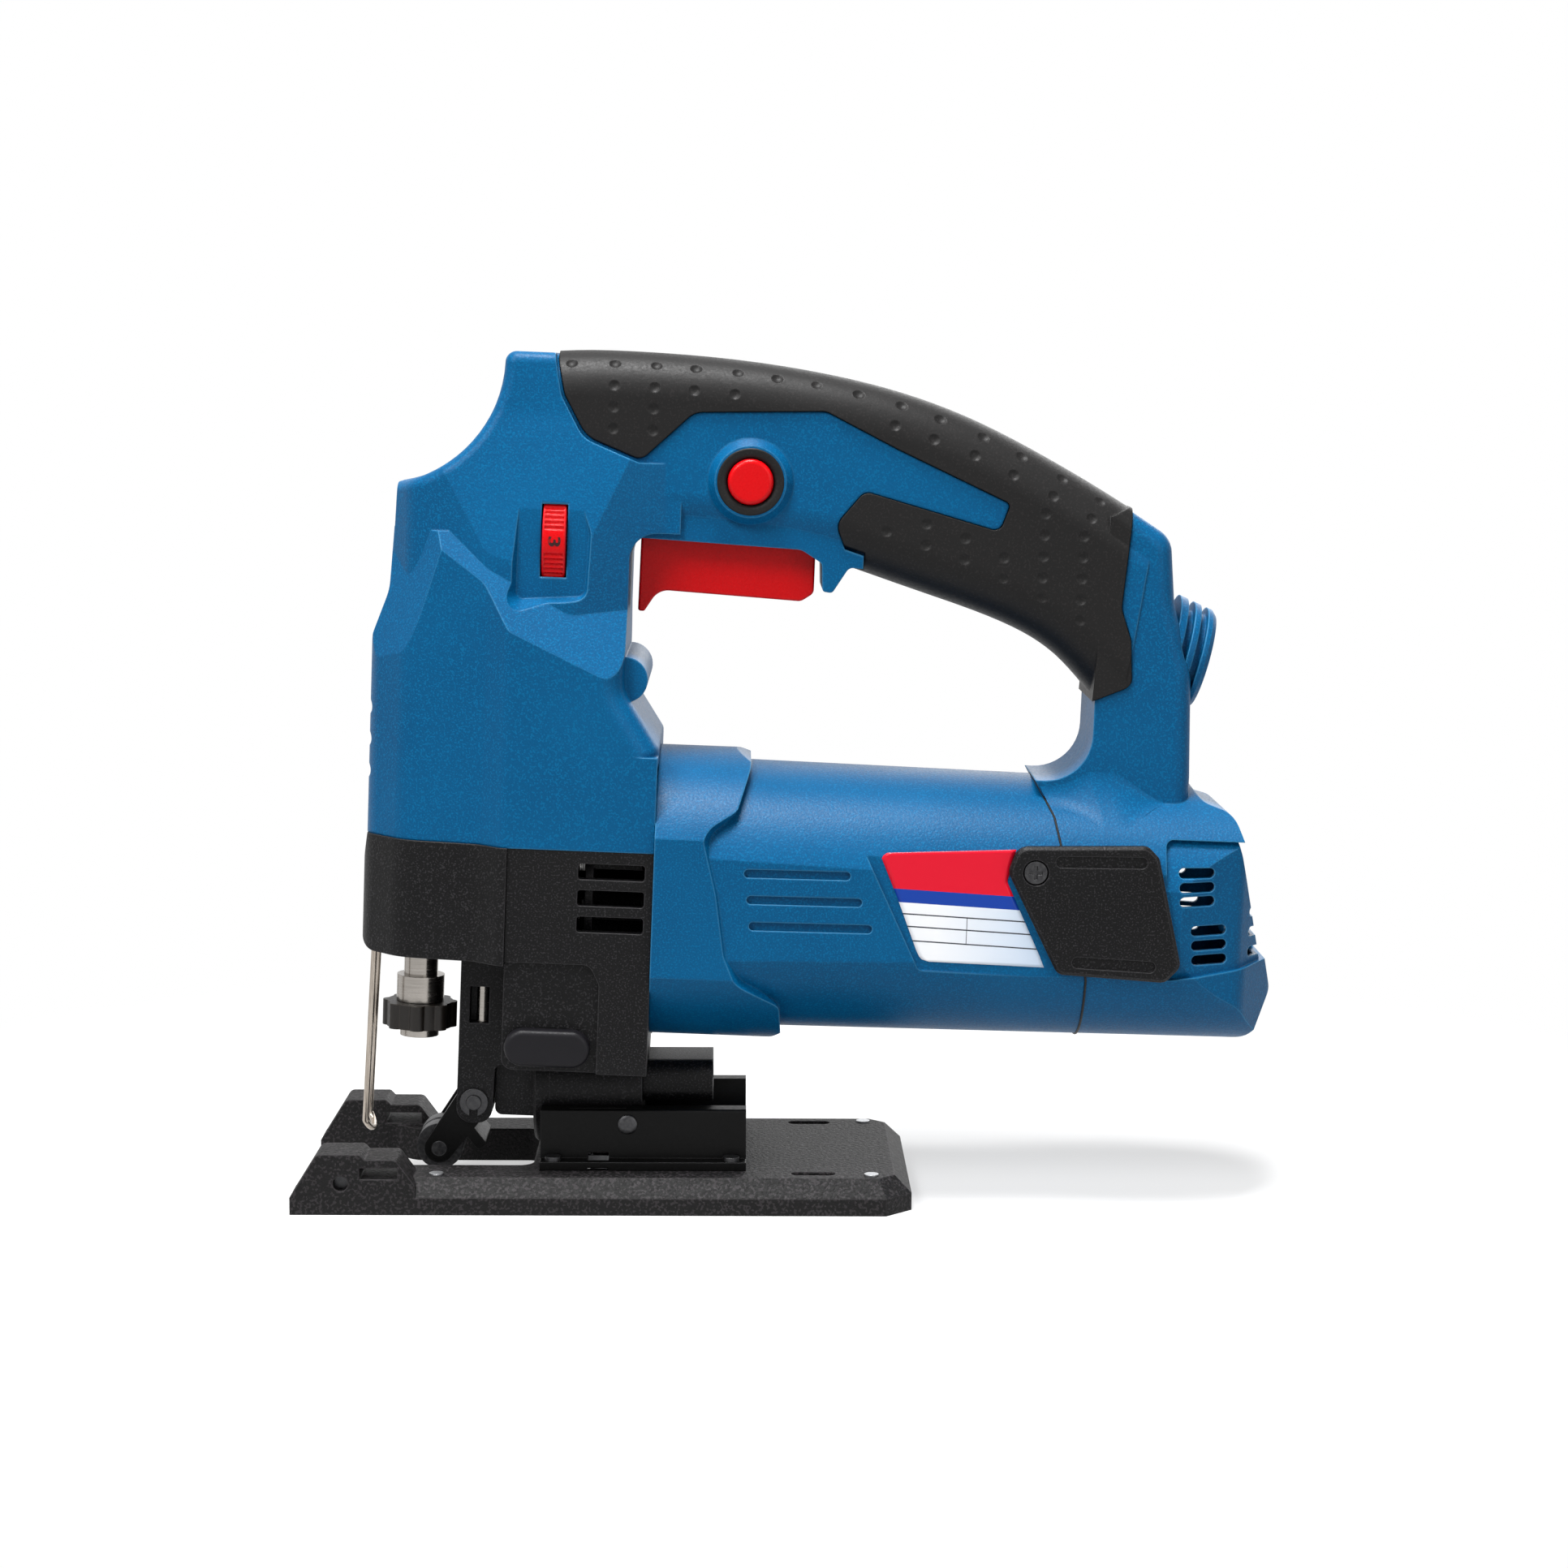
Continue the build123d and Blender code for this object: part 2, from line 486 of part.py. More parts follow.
louvres = [Pos(-48.5, z) * RectangleRounded(17.5, 4.2, 0.8) for z in (90.0, 83.0, 76.0)]
gear_housing -= [both_sides(slab_between(louvre, -40, -20)) for louvre in louvres]
gear_housing = gear_housing.rotate(PITCH_AXIS, PITCH)
wedge = lengthways(make_face(Polyline((0, BEVEL_Z), (44, BEVEL_Z + 40), (-44, BEVEL_Z + 40), close=True)),
                   -70, -5)
sweep_room = rod(25.4, -67.5, -8, 0, BEVEL_Z) - wedge
gear_housing -= sweep_room
gear_housing += rod(TROUGH_R - 0.4, -63.5, -38.5, 0, BEVEL_Z)
gear_housing -= post(2.5, 5, 26, -50)
lower_guide = standing(lower_arm, 66.5, 73.5) & block(-120, NOSE_SPLIT, -20, 20, 60, 80)
save("lower_guide", lower_guide - post(6.0, 60, 80, PLUNGER_X))
save("gear_housing", max(gear_housing.solids(), key=lambda part: part.volume), pitched=False)

nose_side = outline((NOSE_SPLIT, HOOD_FOOT, 0), (-114.6, HOOD_FOOT, 0), (-115.6, 88, 8), (-115.6, 64, 4),
                    (NOSE_SPLIT, 64.2, 0))
nose = slab(nose_side, 40) & standing(head_plan(), 20, 200)
nose_inner = slab(outline((-70, 100, 0), (-112.6, 100, 0), (-112.8, 66.4, 3), (-70, 66.4, 0)), 40)
nose -= nose_inner & standing(grown(head_plan(), -2.6), 20, 200)
nose -= block(-90, -70, -12.8, 12.8, 60, 67)
nose -= post(6.9, 55, 75, PLUNGER_X)
wire_guard_path = FilletPolyline((-110.2, 5.2, 66.3), (-114.0, 5.2, 30), (-114.0, 5.2, 11.8),
                                 (-114.0, -5.2, 11.8),
                                 (-114.0, -5.2, 30), (-110.2, -5.2, 66.3), radius=4.0)
wire_guard = sweep(Plane(wire_guard_path @ 0, z_dir=wire_guard_path % 0) * Circle(1.25),
                   path=wire_guard_path)
wire_room = sweep(Plane(wire_guard_path @ 0, z_dir=wire_guard_path % 0) * Circle(1.5), path=wire_guard_path)
nose -= wire_room
save("nose_cover", max(nose.solids(), key=lambda part: part.volume))
save("wire_guard", wire_guard)

# Gear train and plunger
def polar(radius, angle):
    """Point at a radius and an angle in radians."""
    return (radius * cos(angle), radius * sin(angle))


def gear_outline(teeth, shift, tip_r, tooth_up):
    """Spur gear outline with three-point flanks; tooth_up turns a tooth, not a space, to the top."""
    pitch_r = MODULE * teeth / 2
    base_r = pitch_r * cos(radians(20))
    root_r = pitch_r - MODULE * (1.25 - shift)
    thickness = MODULE * (pi / 2 + 2 * shift * tan(radians(20))) - 0.16
    involute = tan(radians(20)) - radians(20)
    flank = []
    start_r = max(base_r, root_r + 0.05)
    for step in (0.0, 0.5, 1.0):
        radius = start_r + (tip_r - start_r) * step
        angle = acos(min(1.0, base_r / radius))
        half = thickness / (2 * pitch_r) + involute - (tan(angle) - angle)
        flank.append((radius, half))
    root_half = flank[0][1]
    pitch_angle = 2 * pi / teeth
    edges = []
    for tooth in range(teeth):
        middle = tooth * pitch_angle + (pi / 2 if tooth_up else pi / 2 + pitch_angle / 2)
        rising = [polar(radius, middle - half) for radius, half in flank]
        falling = [polar(radius, middle + half) for radius, half in reversed(flank)]
        root_start = polar(root_r, middle - root_half)
        root_end = polar(root_r, middle + root_half)
        space_middle = polar(root_r, middle + pitch_angle / 2)
        next_root = polar(root_r, middle + pitch_angle - root_half)
        edges.append(Line(root_start, rising[0]))
        edges.append(ThreePointArc(*rising))
        edges.append(ThreePointArc(rising[2], polar(tip_r, middle), falling[0]))
        edges.append(ThreePointArc(*falling))
        edges.append(Line(falling[2], root_end))
        edges.append(ThreePointArc(root_end, space_middle, next_root))
    return make_face(edges)


pinion = lengthways(Pos(0, MOTOR_Z) * gear_outline(PINION_TEETH, 0.5, 6.3, True), -78.5, -68.5)
pinion -= rod(3.5, -80, -60, 0, MOTOR_Z)
save("pinion", pinion)
drive_gear = lengthways(Pos(0, GEAR_Z) * Rot(0, 0, 180) * gear_outline(GEAR_TEETH, -0.5, 22.5, False),
                        -78.0, -69.0)
drive_gear += rod(9.0, -69.0, -66.6, 0, GEAR_Z)
drive_gear -= rod(5.03, -90, -60, 0, GEAR_Z)
drive_gear -= [rod(3.0, -90, -60, 14.0 * cos(radians(a)), GEAR_Z + 14.0 * sin(radians(a)))
               for a in (120, 180, 240, 300)]
save("drive_gear", drive_gear)
crank_y = sqrt(CRANK_R ** 2 - CRANK_LIFT ** 2)
save("crank_roller", rod(4.9, -83.5, -78.0, crank_y, GEAR_Z + CRANK_LIFT))
save("gear_pin", rod(5.0, -78.0, -58.0, 0, GEAR_Z))

yoke_z = GEAR_Z + CRANK_LIFT
plunger = post(PLUNGER_R, 46.0, 172.0, PLUNGER_X)
yoke = block(-97.0, -84.2, -19.0, 19.0, yoke_z - 9, yoke_z + 9) - block(-92.5, -80, -15.2, 15.2, yoke_z
                                                                        - 5.2, yoke_z + 5.2)
plunger += yoke
save("plunger", plunger)
save("upper_bush", post(6.0, 147.0, 157.0, PLUNGER_X) - post(PLUNGER_R + 0.05, 140, 160, PLUNGER_X))
save("lower_bush", post(6.0, 66.5, 73.5, PLUNGER_X) - post(PLUNGER_R + 0.05, 60, 80, PLUNGER_X))
save("plunger_seal", post(6.9, 61.0, 66.5, PLUNGER_X) - post(PLUNGER_R + 0.1, 60, 70, PLUNGER_X))
clamp_core = post(5.3, 38.4, 48.0, PLUNGER_X) + post(6.45, 48.0, 55.2, PLUNGER_X)
clamp_core -= post(PLUNGER_R, 46.0, 60, PLUNGER_X)
clamp_core -= block(PLUNGER_X - 4.2, PLUNGER_X + 4.2, -0.8, 0.8, 30, 46.0)
save("blade_clamp", clamp_core)
ring_lobes = Circle(9.0) + [Pos(7.9 * cos(radians(a)), 7.9 * sin(radians(a))) * Circle(2.2)
                            for a in range(0, 360, 45)]
clamp_ring = standing(Pos(PLUNGER_X, 0) * (ring_lobes - Circle(5.36)), 41.0, 47.9)
save("clamp_ring", clamp_ring)

# Motor
shaft = rod(3.5, -79.0, -65.2, 0, MOTOR_Z) + rod(4.0, -65.2, 88.0, 0, MOTOR_Z) + rod(3.5, 88.0, 99.0, 0,
                                                                                     MOTOR_Z)
save("armature_shaft", shaft)
core = Circle(19.0) - Circle(4.0)
core -= [Rot(0, 0, a) * Pos(0, 16.6) * SlotOverall(6.4, 2.6, rotation=90) for a in range(0, 360, 30)]
save("armature_core", lengthways(Pos(0, MOTOR_Z) * core, -14, 36))
winding = make_face(Polyline((0, 6.0), (0, 18.0), (5.0, 17.4), (8.0, 14.0), (8.0, 6.0), close=True))
front_winding = Pos(-14, 0, MOTOR_Z) * mirror(revolve(Plane.XZ * winding, axis=Axis.X), about=Plane.YZ)
rear_winding = Pos(36, 0, MOTOR_Z) * revolve(Plane.XZ * winding, axis=Axis.X)
save("armature_windings", Compound(children=[front_winding.solids()[0], rear_winding.solids()[0]]))
commutator = Circle(12.0) - Circle(4.0)
commutator -= [Rot(0, 0, a) * Pos(0, 12.0) * Rectangle(0.6, 1.6) for a in range(0, 360, 15)]
save("commutator", lengthways(Pos(0, MOTOR_Z) * commutator, 60, 80))
fan = rod(26.5, -55.5, -53.5, 0, MOTOR_Z) + rod(7.5, -55.5, -39.5, 0, MOTOR_Z)
blade = lengthways(Pos(16.5, 0) * Rot(0, 0, 25) * Rectangle(20.0, 1.6), -54.0, -40.5)
fan += [Pos(0, 0, MOTOR_Z) * blade.rotate(Axis.X, a) for a in range(0, 360, 30)]
save("fan", fan - rod(4.0, -70, -30, 0, MOTOR_Z))


def ball_bearing(outer_r, inner_r, x0, x1):
    """Deep-groove bearing as one ring with its shields dished in."""
    step = (outer_r - inner_r) / 4
    ring = rod(outer_r, x0, x1, 0, MOTOR_Z) - rod(inner_r, x0 - 1, x1 + 1, 0, MOTOR_Z)
    for face_x in (x0, x1 - 0.5):
        ring -= rod(outer_r - step, face_x, face_x + 0.5, 0, MOTOR_Z) - rod(inner_r + step, face_x, face_x
                                                                            + 0.5, 0, MOTOR_Z)
    return ring


save("front_bearing", ball_bearing(11.0, 4.05, -65.0, -58.0))
save("rear_bearing", ball_bearing(9.5, 3.55, 91.0, 97.0))


def sector(r0, r1, a0, a1, x0, x1):
    """Ring sector about the motor axis, angles from +Y towards +Z."""
    ring = rod(r1, x0, x1, 0, MOTOR_Z) - rod(r0, x0, x1, 0, MOTOR_Z)
    corners = [(0, 0)] + [(60 * cos(radians(a)), 60 * sin(radians(a))) for a in (a0, (a0 + a1) / 2, a1)]
    return ring & lengthways(Pos(0, MOTOR_Z) * make_face(Polyline(*corners, close=True)), x0, x1)


stator = (rod(31.5, -14, 36, 0, MOTOR_Z) & block(-20, 40, -30.5, 30.5, 40, 120)) - rod(19.7, -20, 40, 0,
                                                                                       MOTOR_Z)
coils = []
for turn in (0, 180):
    whole = sector(21.0, 27.0, 35 + turn, 145 + turn, -21, 43)
    pole = sector(20.0, 28.0, 58 + turn, 122 + turn, -14, 36)
    coils.append(whole - pole)
stator -= coils
save("stator_core", stator)
save("field_coils", Compound(children=[coil.solids()[0] for coil in coils]))
holder = block(66.0, 76.0, -29.5, -13.5, MOTOR_Z - 5.0, MOTOR_Z + 5.0) - block(67.5, 74.5, -40, -10,
                                                                               MOTOR_Z - 3.5, MOTOR_Z + 3.5)
brush = block(67.5, 74.5, -26.0, -12.3, MOTOR_Z - 3.5, MOTOR_Z + 3.5)
save("brush_holders", Compound(children=[holder.solids()[0], mirror(holder, about=Plane.XZ).solids()[0]]))
save("carbon_brushes", Compound(children=[brush.solids()[0], mirror(brush, about=Plane.XZ).solids()[0]]))

# Controls
trigger_side = outline((-44.4, 187.0, 1), (-44.7, 157.1, 0.7), (-43.0, 157.1, 0.7), (-39.4, 162.9, 5),
                       (-1.4, 161.3, 3), (1.9, 163.6, 2),
                       (1.9, 187.0, 1))
trigger = slab(trigger_side, 8.8) - both_sides(block(-50, 10, -10, -4.6, 180.0, 190))
trigger_rim = trigger.edges().filter_by(lambda e: abs(e.center().Y) > 8 and e.center().Z < 165)
save("trigger", fillet(trigger_rim, 0.6))
save("switch_module", block(-36.0, -6.0, -9.0, 9.0, 201.5, 215.0) + block(-33, -28, -4, 4, 193.0, 201.5))
lock_button = pin(6.0, -20.6, -9.0, *LOCK_CENTRE)
lock_button = fillet(lock_button.faces().sort_by(Axis.Y)[0].edges(), 1.2)
lock_button += pin(7.0, -12.4, -10.8, *LOCK_CENTRE)
save("lock_button", lock_button)
wheel = Circle(15.6) + [Rot(0, 0, a) * Pos(0, 15.6) * Circle(0.75) for a in range(0, 360, 15)]
wheel -= Circle(2.0)
dial = lengthways(Pos(DIAL_CENTRE[1], DIAL_CENTRE[2]) * wheel, -69.9, -63.7)
save("speed_dial", dial)
speed_module = block(-62.8, -55.0, -18.0, 6.0, 164.5, 187.0) + rod(1.94, -70.5, -62.8, DIAL_CENTRE[1],
                                                                   DIAL_CENTRE[2])
save("speed_module", speed_module)
knob = slab_between(Pos(-63.9, 42.6) * SlotOverall(22.6, 9.8), -34.2, -30.3)
knob = fillet(knob.faces().sort_by(Axis.Y)[0].edges(), 1.4)
save("selector_knob", knob)
save("selector_shaft", pin(4.0, -30.3, -22.0, *SELECTOR_PIVOT))

# Roller guide
cheek = make_hull(((Pos(*LEVER_PIVOT) * Circle(4.8)) + (Pos(*ROLLER_AXLE) * Circle(4.0))).edges())
lever = both_sides(slab_between(cheek, -9.4, -6.9))
lever += slab(Pos(-84.2, 12.8) * Rot(0, 0, -50) * RectangleRounded(8.0, 3.0, 1.0), 9.4)
lever -= pin(2.02, -20, 20, *LEVER_PIVOT) + pin(2.0, -20, 20, *ROLLER_AXLE)
save("roller_lever", lever)
save("lever_pin", pin(2.0, -14.0, 14.0, *LEVER_PIVOT))
clip_face = Circle(3.8) - Circle(2.0) - Pos(0, -3) * Rectangle(2.2, 4)
clip = both_sides(slab_between(Pos(*LEVER_PIVOT) * clip_face, -13.5, -12.6))
save("lever_clips", clip)
save("stop_pin", post(1.7, 44.6, 54.6, -82.6, -9.7))
save("roller_axle", pin(2.0, -9.4, 9.4, *ROLLER_AXLE))
roller_profile = make_face(Polyline((-6.4, 2.05), (-6.4, 6.3), (-1.2, 6.3), (0, 5.2), (1.2, 6.3),
                                    (6.4, 6.3), (6.4, 2.05), close=True))
roller = revolve(Rot(0, 0, 90) * roller_profile, axis=Axis.Y)
save("guide_roller", Pos(ROLLER_AXLE[0], 0, ROLLER_AXLE[1]) * roller)

# Dust outlet under the motor
duct = outline(*mirrored((12.5, 24.5, 3), (12.5, 35.4, 5)))
dust_outlet = lengthways(duct, -38.5, -19.5) - lengthways(grown(duct, -2.0), -36.0, -10)
save("dust_outlet", dust_outlet, pitched=False)

# Base
base_plan = make_face(Polyline((BASE_FRONT, -BASE_HALF), (BASE_REAR - 7, -BASE_HALF),
                               (BASE_REAR, -BASE_HALF + 7),
                               (BASE_REAR, BASE_HALF - 7), (BASE_REAR - 7, BASE_HALF),
                               (BASE_FRONT, BASE_HALF), close=True))
base_plate = standing(base_plan, 0, BASE_TOP)
base_plate = chamfer(base_plate.faces().sort_by(Axis.Z)[-1].edges(), BASE_TOP - BASE_EDGE)
horn = outline((BASE_FRONT, 0, 0), (BASE_FRONT, 4.5, 1), (-123.2, 16.2, 2), (-112.0, 16.2, 1),
               (-110.6, 14.8, 0), (-102.5, 14.8, 2),
               (-97.5, 8.0, 0), (-97.5, 0, 0))
base_plate += both_sides(slab_between(horn, -BASE_HALF, -25.5))
blade_gap = outline((-140, -25.5, 0), (-108, -25.5, 4), (-103, -21.0, 4), (-67.5, -21.0, 4),
                    (-67.5, 21.0, 4), (-103, 21.0, 4),
                    (-108, 25.5, 4), (-140, 25.5, 0))
base_plate -= standing(blade_gap, -5, 30)
base_plate -= block(-57.5, -42.5, -24.5, 24.5, -5, 30)
base_plate -= lengthways(outline(*mirrored((40, 9.6, 0), (40, 12.6, 0))), -112.0, -102.0)
base_plate -= both_sides(standing(Pos(7.4, -29.5) * SlotOverall(11.8, 3.6), 4, 20))
base_plate -= both_sides(pin(2.0, -40, -31, -117.0, 8.4))
base_plate -= [post(1.5, 3.0, 20, x, y) for x, y in RIVETS]
base_plate -= [post(1.9, 3.0, 20, x, y) for x, y in SOLE_RIVETS]
save("base_plate", base_plate, pitched=False)
bracket_front = outline(*mirrored((22.4, BASE_TOP, 0), (22.2, 24.6, 1)))
bracket = lengthways(bracket_front, -65.5, -10.5) + block(-65.5, -10.5, -27.0, 27.0, BASE_TOP, 11.4)
bracket -= block(-57.5, -42.5, -20.8, 20.8, 5, 30)
bracket += rod(20.4, -57.5, -42.5, 0, BEVEL_Z) & block(-60, -40, -30, 30, 0, 24.6)
bracket -= [post(1.5, 3.0, 20, x, y) for x, y in RIVETS]
bracket -= rod(TROUGH_R, -70, 0, 0, BEVEL_Z)
slot_y = 40 * sin(radians(SLOT_ANGLE))
slot_z = BEVEL_Z - 40 * cos(radians(SLOT_ANGLE))
slot_wedge = make_face(Polyline((0, BEVEL_Z), (slot_y, slot_z), (0, BEVEL_Z - 60), (-slot_y, slot_z),
                                close=True))
bracket -= lengthways(slot_wedge, -52.8, -47.2)
save("bevel_bracket", bracket, pitched=False)
clamp_wedge = make_face(Polyline((0, BEVEL_Z), (10, BEVEL_Z - 40), (-10, BEVEL_Z - 40), close=True))
clamp_plate = (rod(22.8, -55.5, -44.5, 0, BEVEL_Z)
               - rod(20.7, -55.5, -44.5, 0, BEVEL_Z)) & lengthways(clamp_wedge, -60, -40)
bevel_screw = clamp_plate + post(2.5, 4.0, 26.0, -50) + post(3.2, 2.7, 6.0, -50)
save("bevel_screw", bevel_screw, pitched=False)
rivets = [post(2.2, 11.4, 12.6, x, y) + post(1.5, 3.0, 11.4, x, y) for x, y in RIVETS]
sole_rivets = [post(1.9, 3.0, 9.5, x, y) for x, y in SOLE_RIVETS]
save("sole_rivets", Compound(children=[part.solids()[0] for part in sole_rivets]), pitched=False)
save("bracket_rivets", Compound(children=[part.solids()[0] for part in rivets]), pitched=False)
set_screw = pin(2.0, -36.2, -31.0, -117.0, 8.4)
save("fence_screws", Compound(children=[set_screw.solids()[0],
                                        mirror(set_screw, about=Plane.XZ).solids()[0]]), pitched=False)
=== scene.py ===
"""Looks of a corded D-handle jigsaw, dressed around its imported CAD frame.

Row coordinates are metres with +Z up and the cutting front towards -X. Sizes of pieces are in millimetres.
"""

import logging
import math
from dataclasses import dataclass, replace
from enum import Enum
from typing import Any, Optional, Sequence

import bmesh
import bpy
import numpy as np
from mathutils import Matrix, Vector


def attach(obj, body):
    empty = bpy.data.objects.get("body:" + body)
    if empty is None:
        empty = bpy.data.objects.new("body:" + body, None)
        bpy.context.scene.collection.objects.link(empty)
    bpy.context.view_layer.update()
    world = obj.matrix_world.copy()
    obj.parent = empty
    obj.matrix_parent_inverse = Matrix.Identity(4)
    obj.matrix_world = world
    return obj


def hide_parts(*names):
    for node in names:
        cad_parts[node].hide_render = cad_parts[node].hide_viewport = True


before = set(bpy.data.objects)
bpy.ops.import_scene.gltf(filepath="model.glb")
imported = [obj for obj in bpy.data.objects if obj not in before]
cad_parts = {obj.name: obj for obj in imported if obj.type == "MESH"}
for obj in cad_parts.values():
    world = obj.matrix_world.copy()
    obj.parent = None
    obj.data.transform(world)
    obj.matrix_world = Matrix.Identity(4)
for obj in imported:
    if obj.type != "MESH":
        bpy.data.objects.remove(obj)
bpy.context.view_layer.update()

LOG = logging.getLogger("jigsaw")
MM = 0.001
# The head's pitch against the sole, about the bevel line.
PITCH = math.radians(2.0)
PITCH_X, PITCH_Z = -40.0, 20.0
# Flat flank of the motor, place of the lock button, and height of the motor's axle.
FLANK_Y = -32.0
LOCK_X, LOCK_Z = -16.1, 192.8
AXLE_Z = 81.3
SMOOTH_DEG = 38.0
WELD_M = 1e-6
TINY = 1e-6
FULL_TURN = 2.0 * math.pi
# How far the noise of a finish swings, and how many rays its edge and shelter tests take.
NOISE_SWING = (0.3, 0.7)
RAY_SAMPLES = 6
WHITE = (1.0, 1.0, 1.0, 1.0)


class Body(Enum):
    """CAD bodies that new pieces ride on."""

    HEAD = "head"
    BASE = "base"
    DIAL = "dial"


class Slot(Enum):
    """Material slots of the record, one named for each turned piece."""

    BLUE = "blue_shell"
    RED = "red_plastic"
    BLACK = "black_plastic"
    RUBBER = "grip_rubber"
    SCREW = "screw_steel"
    BRIGHT = "bright_steel"


def linear(hex_colour: str) -> tuple[float, float, float, float]:
    """Turn an sRGB hex colour into linear RGBA.

    Args:
        hex_colour: Colour such as "#1D6AA0".

    Returns:
        Linear red, green, blue and an alpha of one.
    """
    parts = [int(hex_colour[i:i + 2], 16) / 255 for i in (1, 3, 5)]
    flat = [c / 12.92 if c <= 0.04045 else ((c + 0.055) / 1.055) ** 2.4 for c in parts]
    return flat[0], flat[1], flat[2], 1.0


def per_metre(size_mm: float) -> float:
    """Turn a pattern's pitch into a texture scale.

    Args:
        size_mm: Distance between the pattern's features.

    Returns:
        Features per metre.
    """
    return 1.0 / (size_mm * MM)


def add(tree: bpy.types.NodeTree, kind: str, inputs: Optional[dict[Any, Any]] = None,
        **settings: Any) -> bpy.types.Node:
    """Add one node, with its settings, socket values and incoming links.

    Args:
        tree: Node tree that gets the node.
        kind: Blender's node type name.
        inputs: Socket name or index to a value, or to an output socket to link from.
        settings: Node attributes to set before its sockets.

    Returns:
        The new node.
    """
    node = tree.nodes.new(kind)
    for key, value in settings.items():
        setattr(node, key, value)
    for socket, value in (inputs or {}).items():
        if isinstance(value, bpy.types.NodeSocket):
            tree.links.new(value, node.inputs[socket])
        else:
            node.inputs[socket].default_value = value
    return node


def remap(tree: bpy.types.NodeTree, value: bpy.types.NodeSocket, source: tuple[float, float],
          target: tuple[float, float] = (0.0, 1.0), **settings: Any) -> bpy.types.NodeSocket:
    """Map a value from one range to another, held within it.

    Args:
        tree: Node tree that gets the node.
        value: Socket to map.
        source: Range that the value comes from.
        target: Range that it goes to.
        settings: Node attributes.

    Returns:
        The mapped value's socket.
    """
    ends = {"From Min": source[0], "From Max": source[1], "To Min": target[0], "To Max": target[1]}
    return add(tree, "ShaderNodeMapRange", {"Value": value, **ends}, **settings).outputs["Result"]


def mix(tree: bpy.types.NodeTree, share: bpy.types.NodeSocket, first: Any, second: Any) -> bpy.types.NodeSocket:
    """Mix two colours.

    Args:
        tree: Node tree that gets the node.
        share: Socket with the share of the second colour.
        first: Colour, or a socket with one.
        second: Colour, or a socket with one.

    Returns:
        The mixed colour's socket.
    """
    inputs = {"Factor": share, "A": first, "B": second}
    return add(tree, "ShaderNodeMix", inputs, data_type="RGBA").outputs["Result"]


def math_node(tree: bpy.types.NodeTree, operation: str, first: bpy.types.NodeSocket,
              second: bpy.types.NodeSocket) -> bpy.types.NodeSocket:
    """Join two values by a Math node.

    Args:
        tree: Node tree that gets the node.
        operation: Blender's name of the operation.
        first: Socket with the first value.
        second: Socket with the second value.

    Returns:
        The result's socket.
    """
    return add(tree, "ShaderNodeMath", {0: first, 1: second}, operation=operation).outputs["Value"]


def ramp(tree: bpy.types.NodeTree, fac: bpy.types.NodeSocket, stops: Sequence[tuple[float, str]],
         interpolation: str = "LINEAR") -> bpy.types.NodeSocket:
    """Map a factor through colour stops.

    Args:
        tree: Node tree that gets the ramp.
        fac: Socket that drives it.
        stops: Pairs of position and sRGB hex colour, in rising order.
        interpolation: Blender's ramp interpolation name.

    Returns:
        The ramp's colour socket.
    """
    node = add(tree, "ShaderNodeValToRGB", {"Fac": fac})
    elements = node.color_ramp.elements
    node.color_ramp.interpolation = interpolation
    while len(elements) < len(stops):
        elements.new(0.5)
    for element, (position, colour) in zip(elements, stops):
        element.position = position
        element.color = linear(colour)
    return node.outputs["Color"]


def new_tree(name: str) -> tuple[bpy.types.Material, bpy.types.NodeTree, bpy.types.Node]:
    """Start an empty node material with a Principled shader on its output.

    Args:
        name: Material name.

    Returns:
        The material, its tree and its Principled node.
    """
    material = bpy.data.materials.new(name)
    material.use_nodes = True
    tree = material.node_tree
    tree.nodes.clear()
    shader = add(tree, "ShaderNodeBsdfPrincipled")
    add(tree, "ShaderNodeOutputMaterial", {"Surface": shader.outputs["BSDF"]})
    return material, tree, shader


def join(tree: bpy.types.NodeTree, shader: bpy.types.Node, sockets: dict[str, bpy.types.NodeSocket]) -> None:
    """Link outputs to a shader.

    Args:
        tree: Node tree that holds them.
        shader: Shader node.
        sockets: Names of its inputs, each with the output to link from.
    """
    for name, output in sockets.items():
        tree.links.new(output, shader.inputs[name])


def relief(tree: bpy.types.NodeTree, height: bpy.types.NodeSocket, edge: bpy.types.Node,
           depth_mm: float) -> bpy.types.NodeSocket:
    """Bump a softened edge by a height.

    Args:
        tree: Node tree that gets the node.
        height: Socket with the height.
        edge: Bevel node that softens the edges.
        depth_mm: Depth of the bump.

    Returns:
        The normal's socket.
    """
    inputs = {"Height": height, "Normal": edge.outputs["Normal"], "Distance": depth_mm * MM, "Strength": 1.0}
    return add(tree, "ShaderNodeBump", inputs).outputs["Normal"]


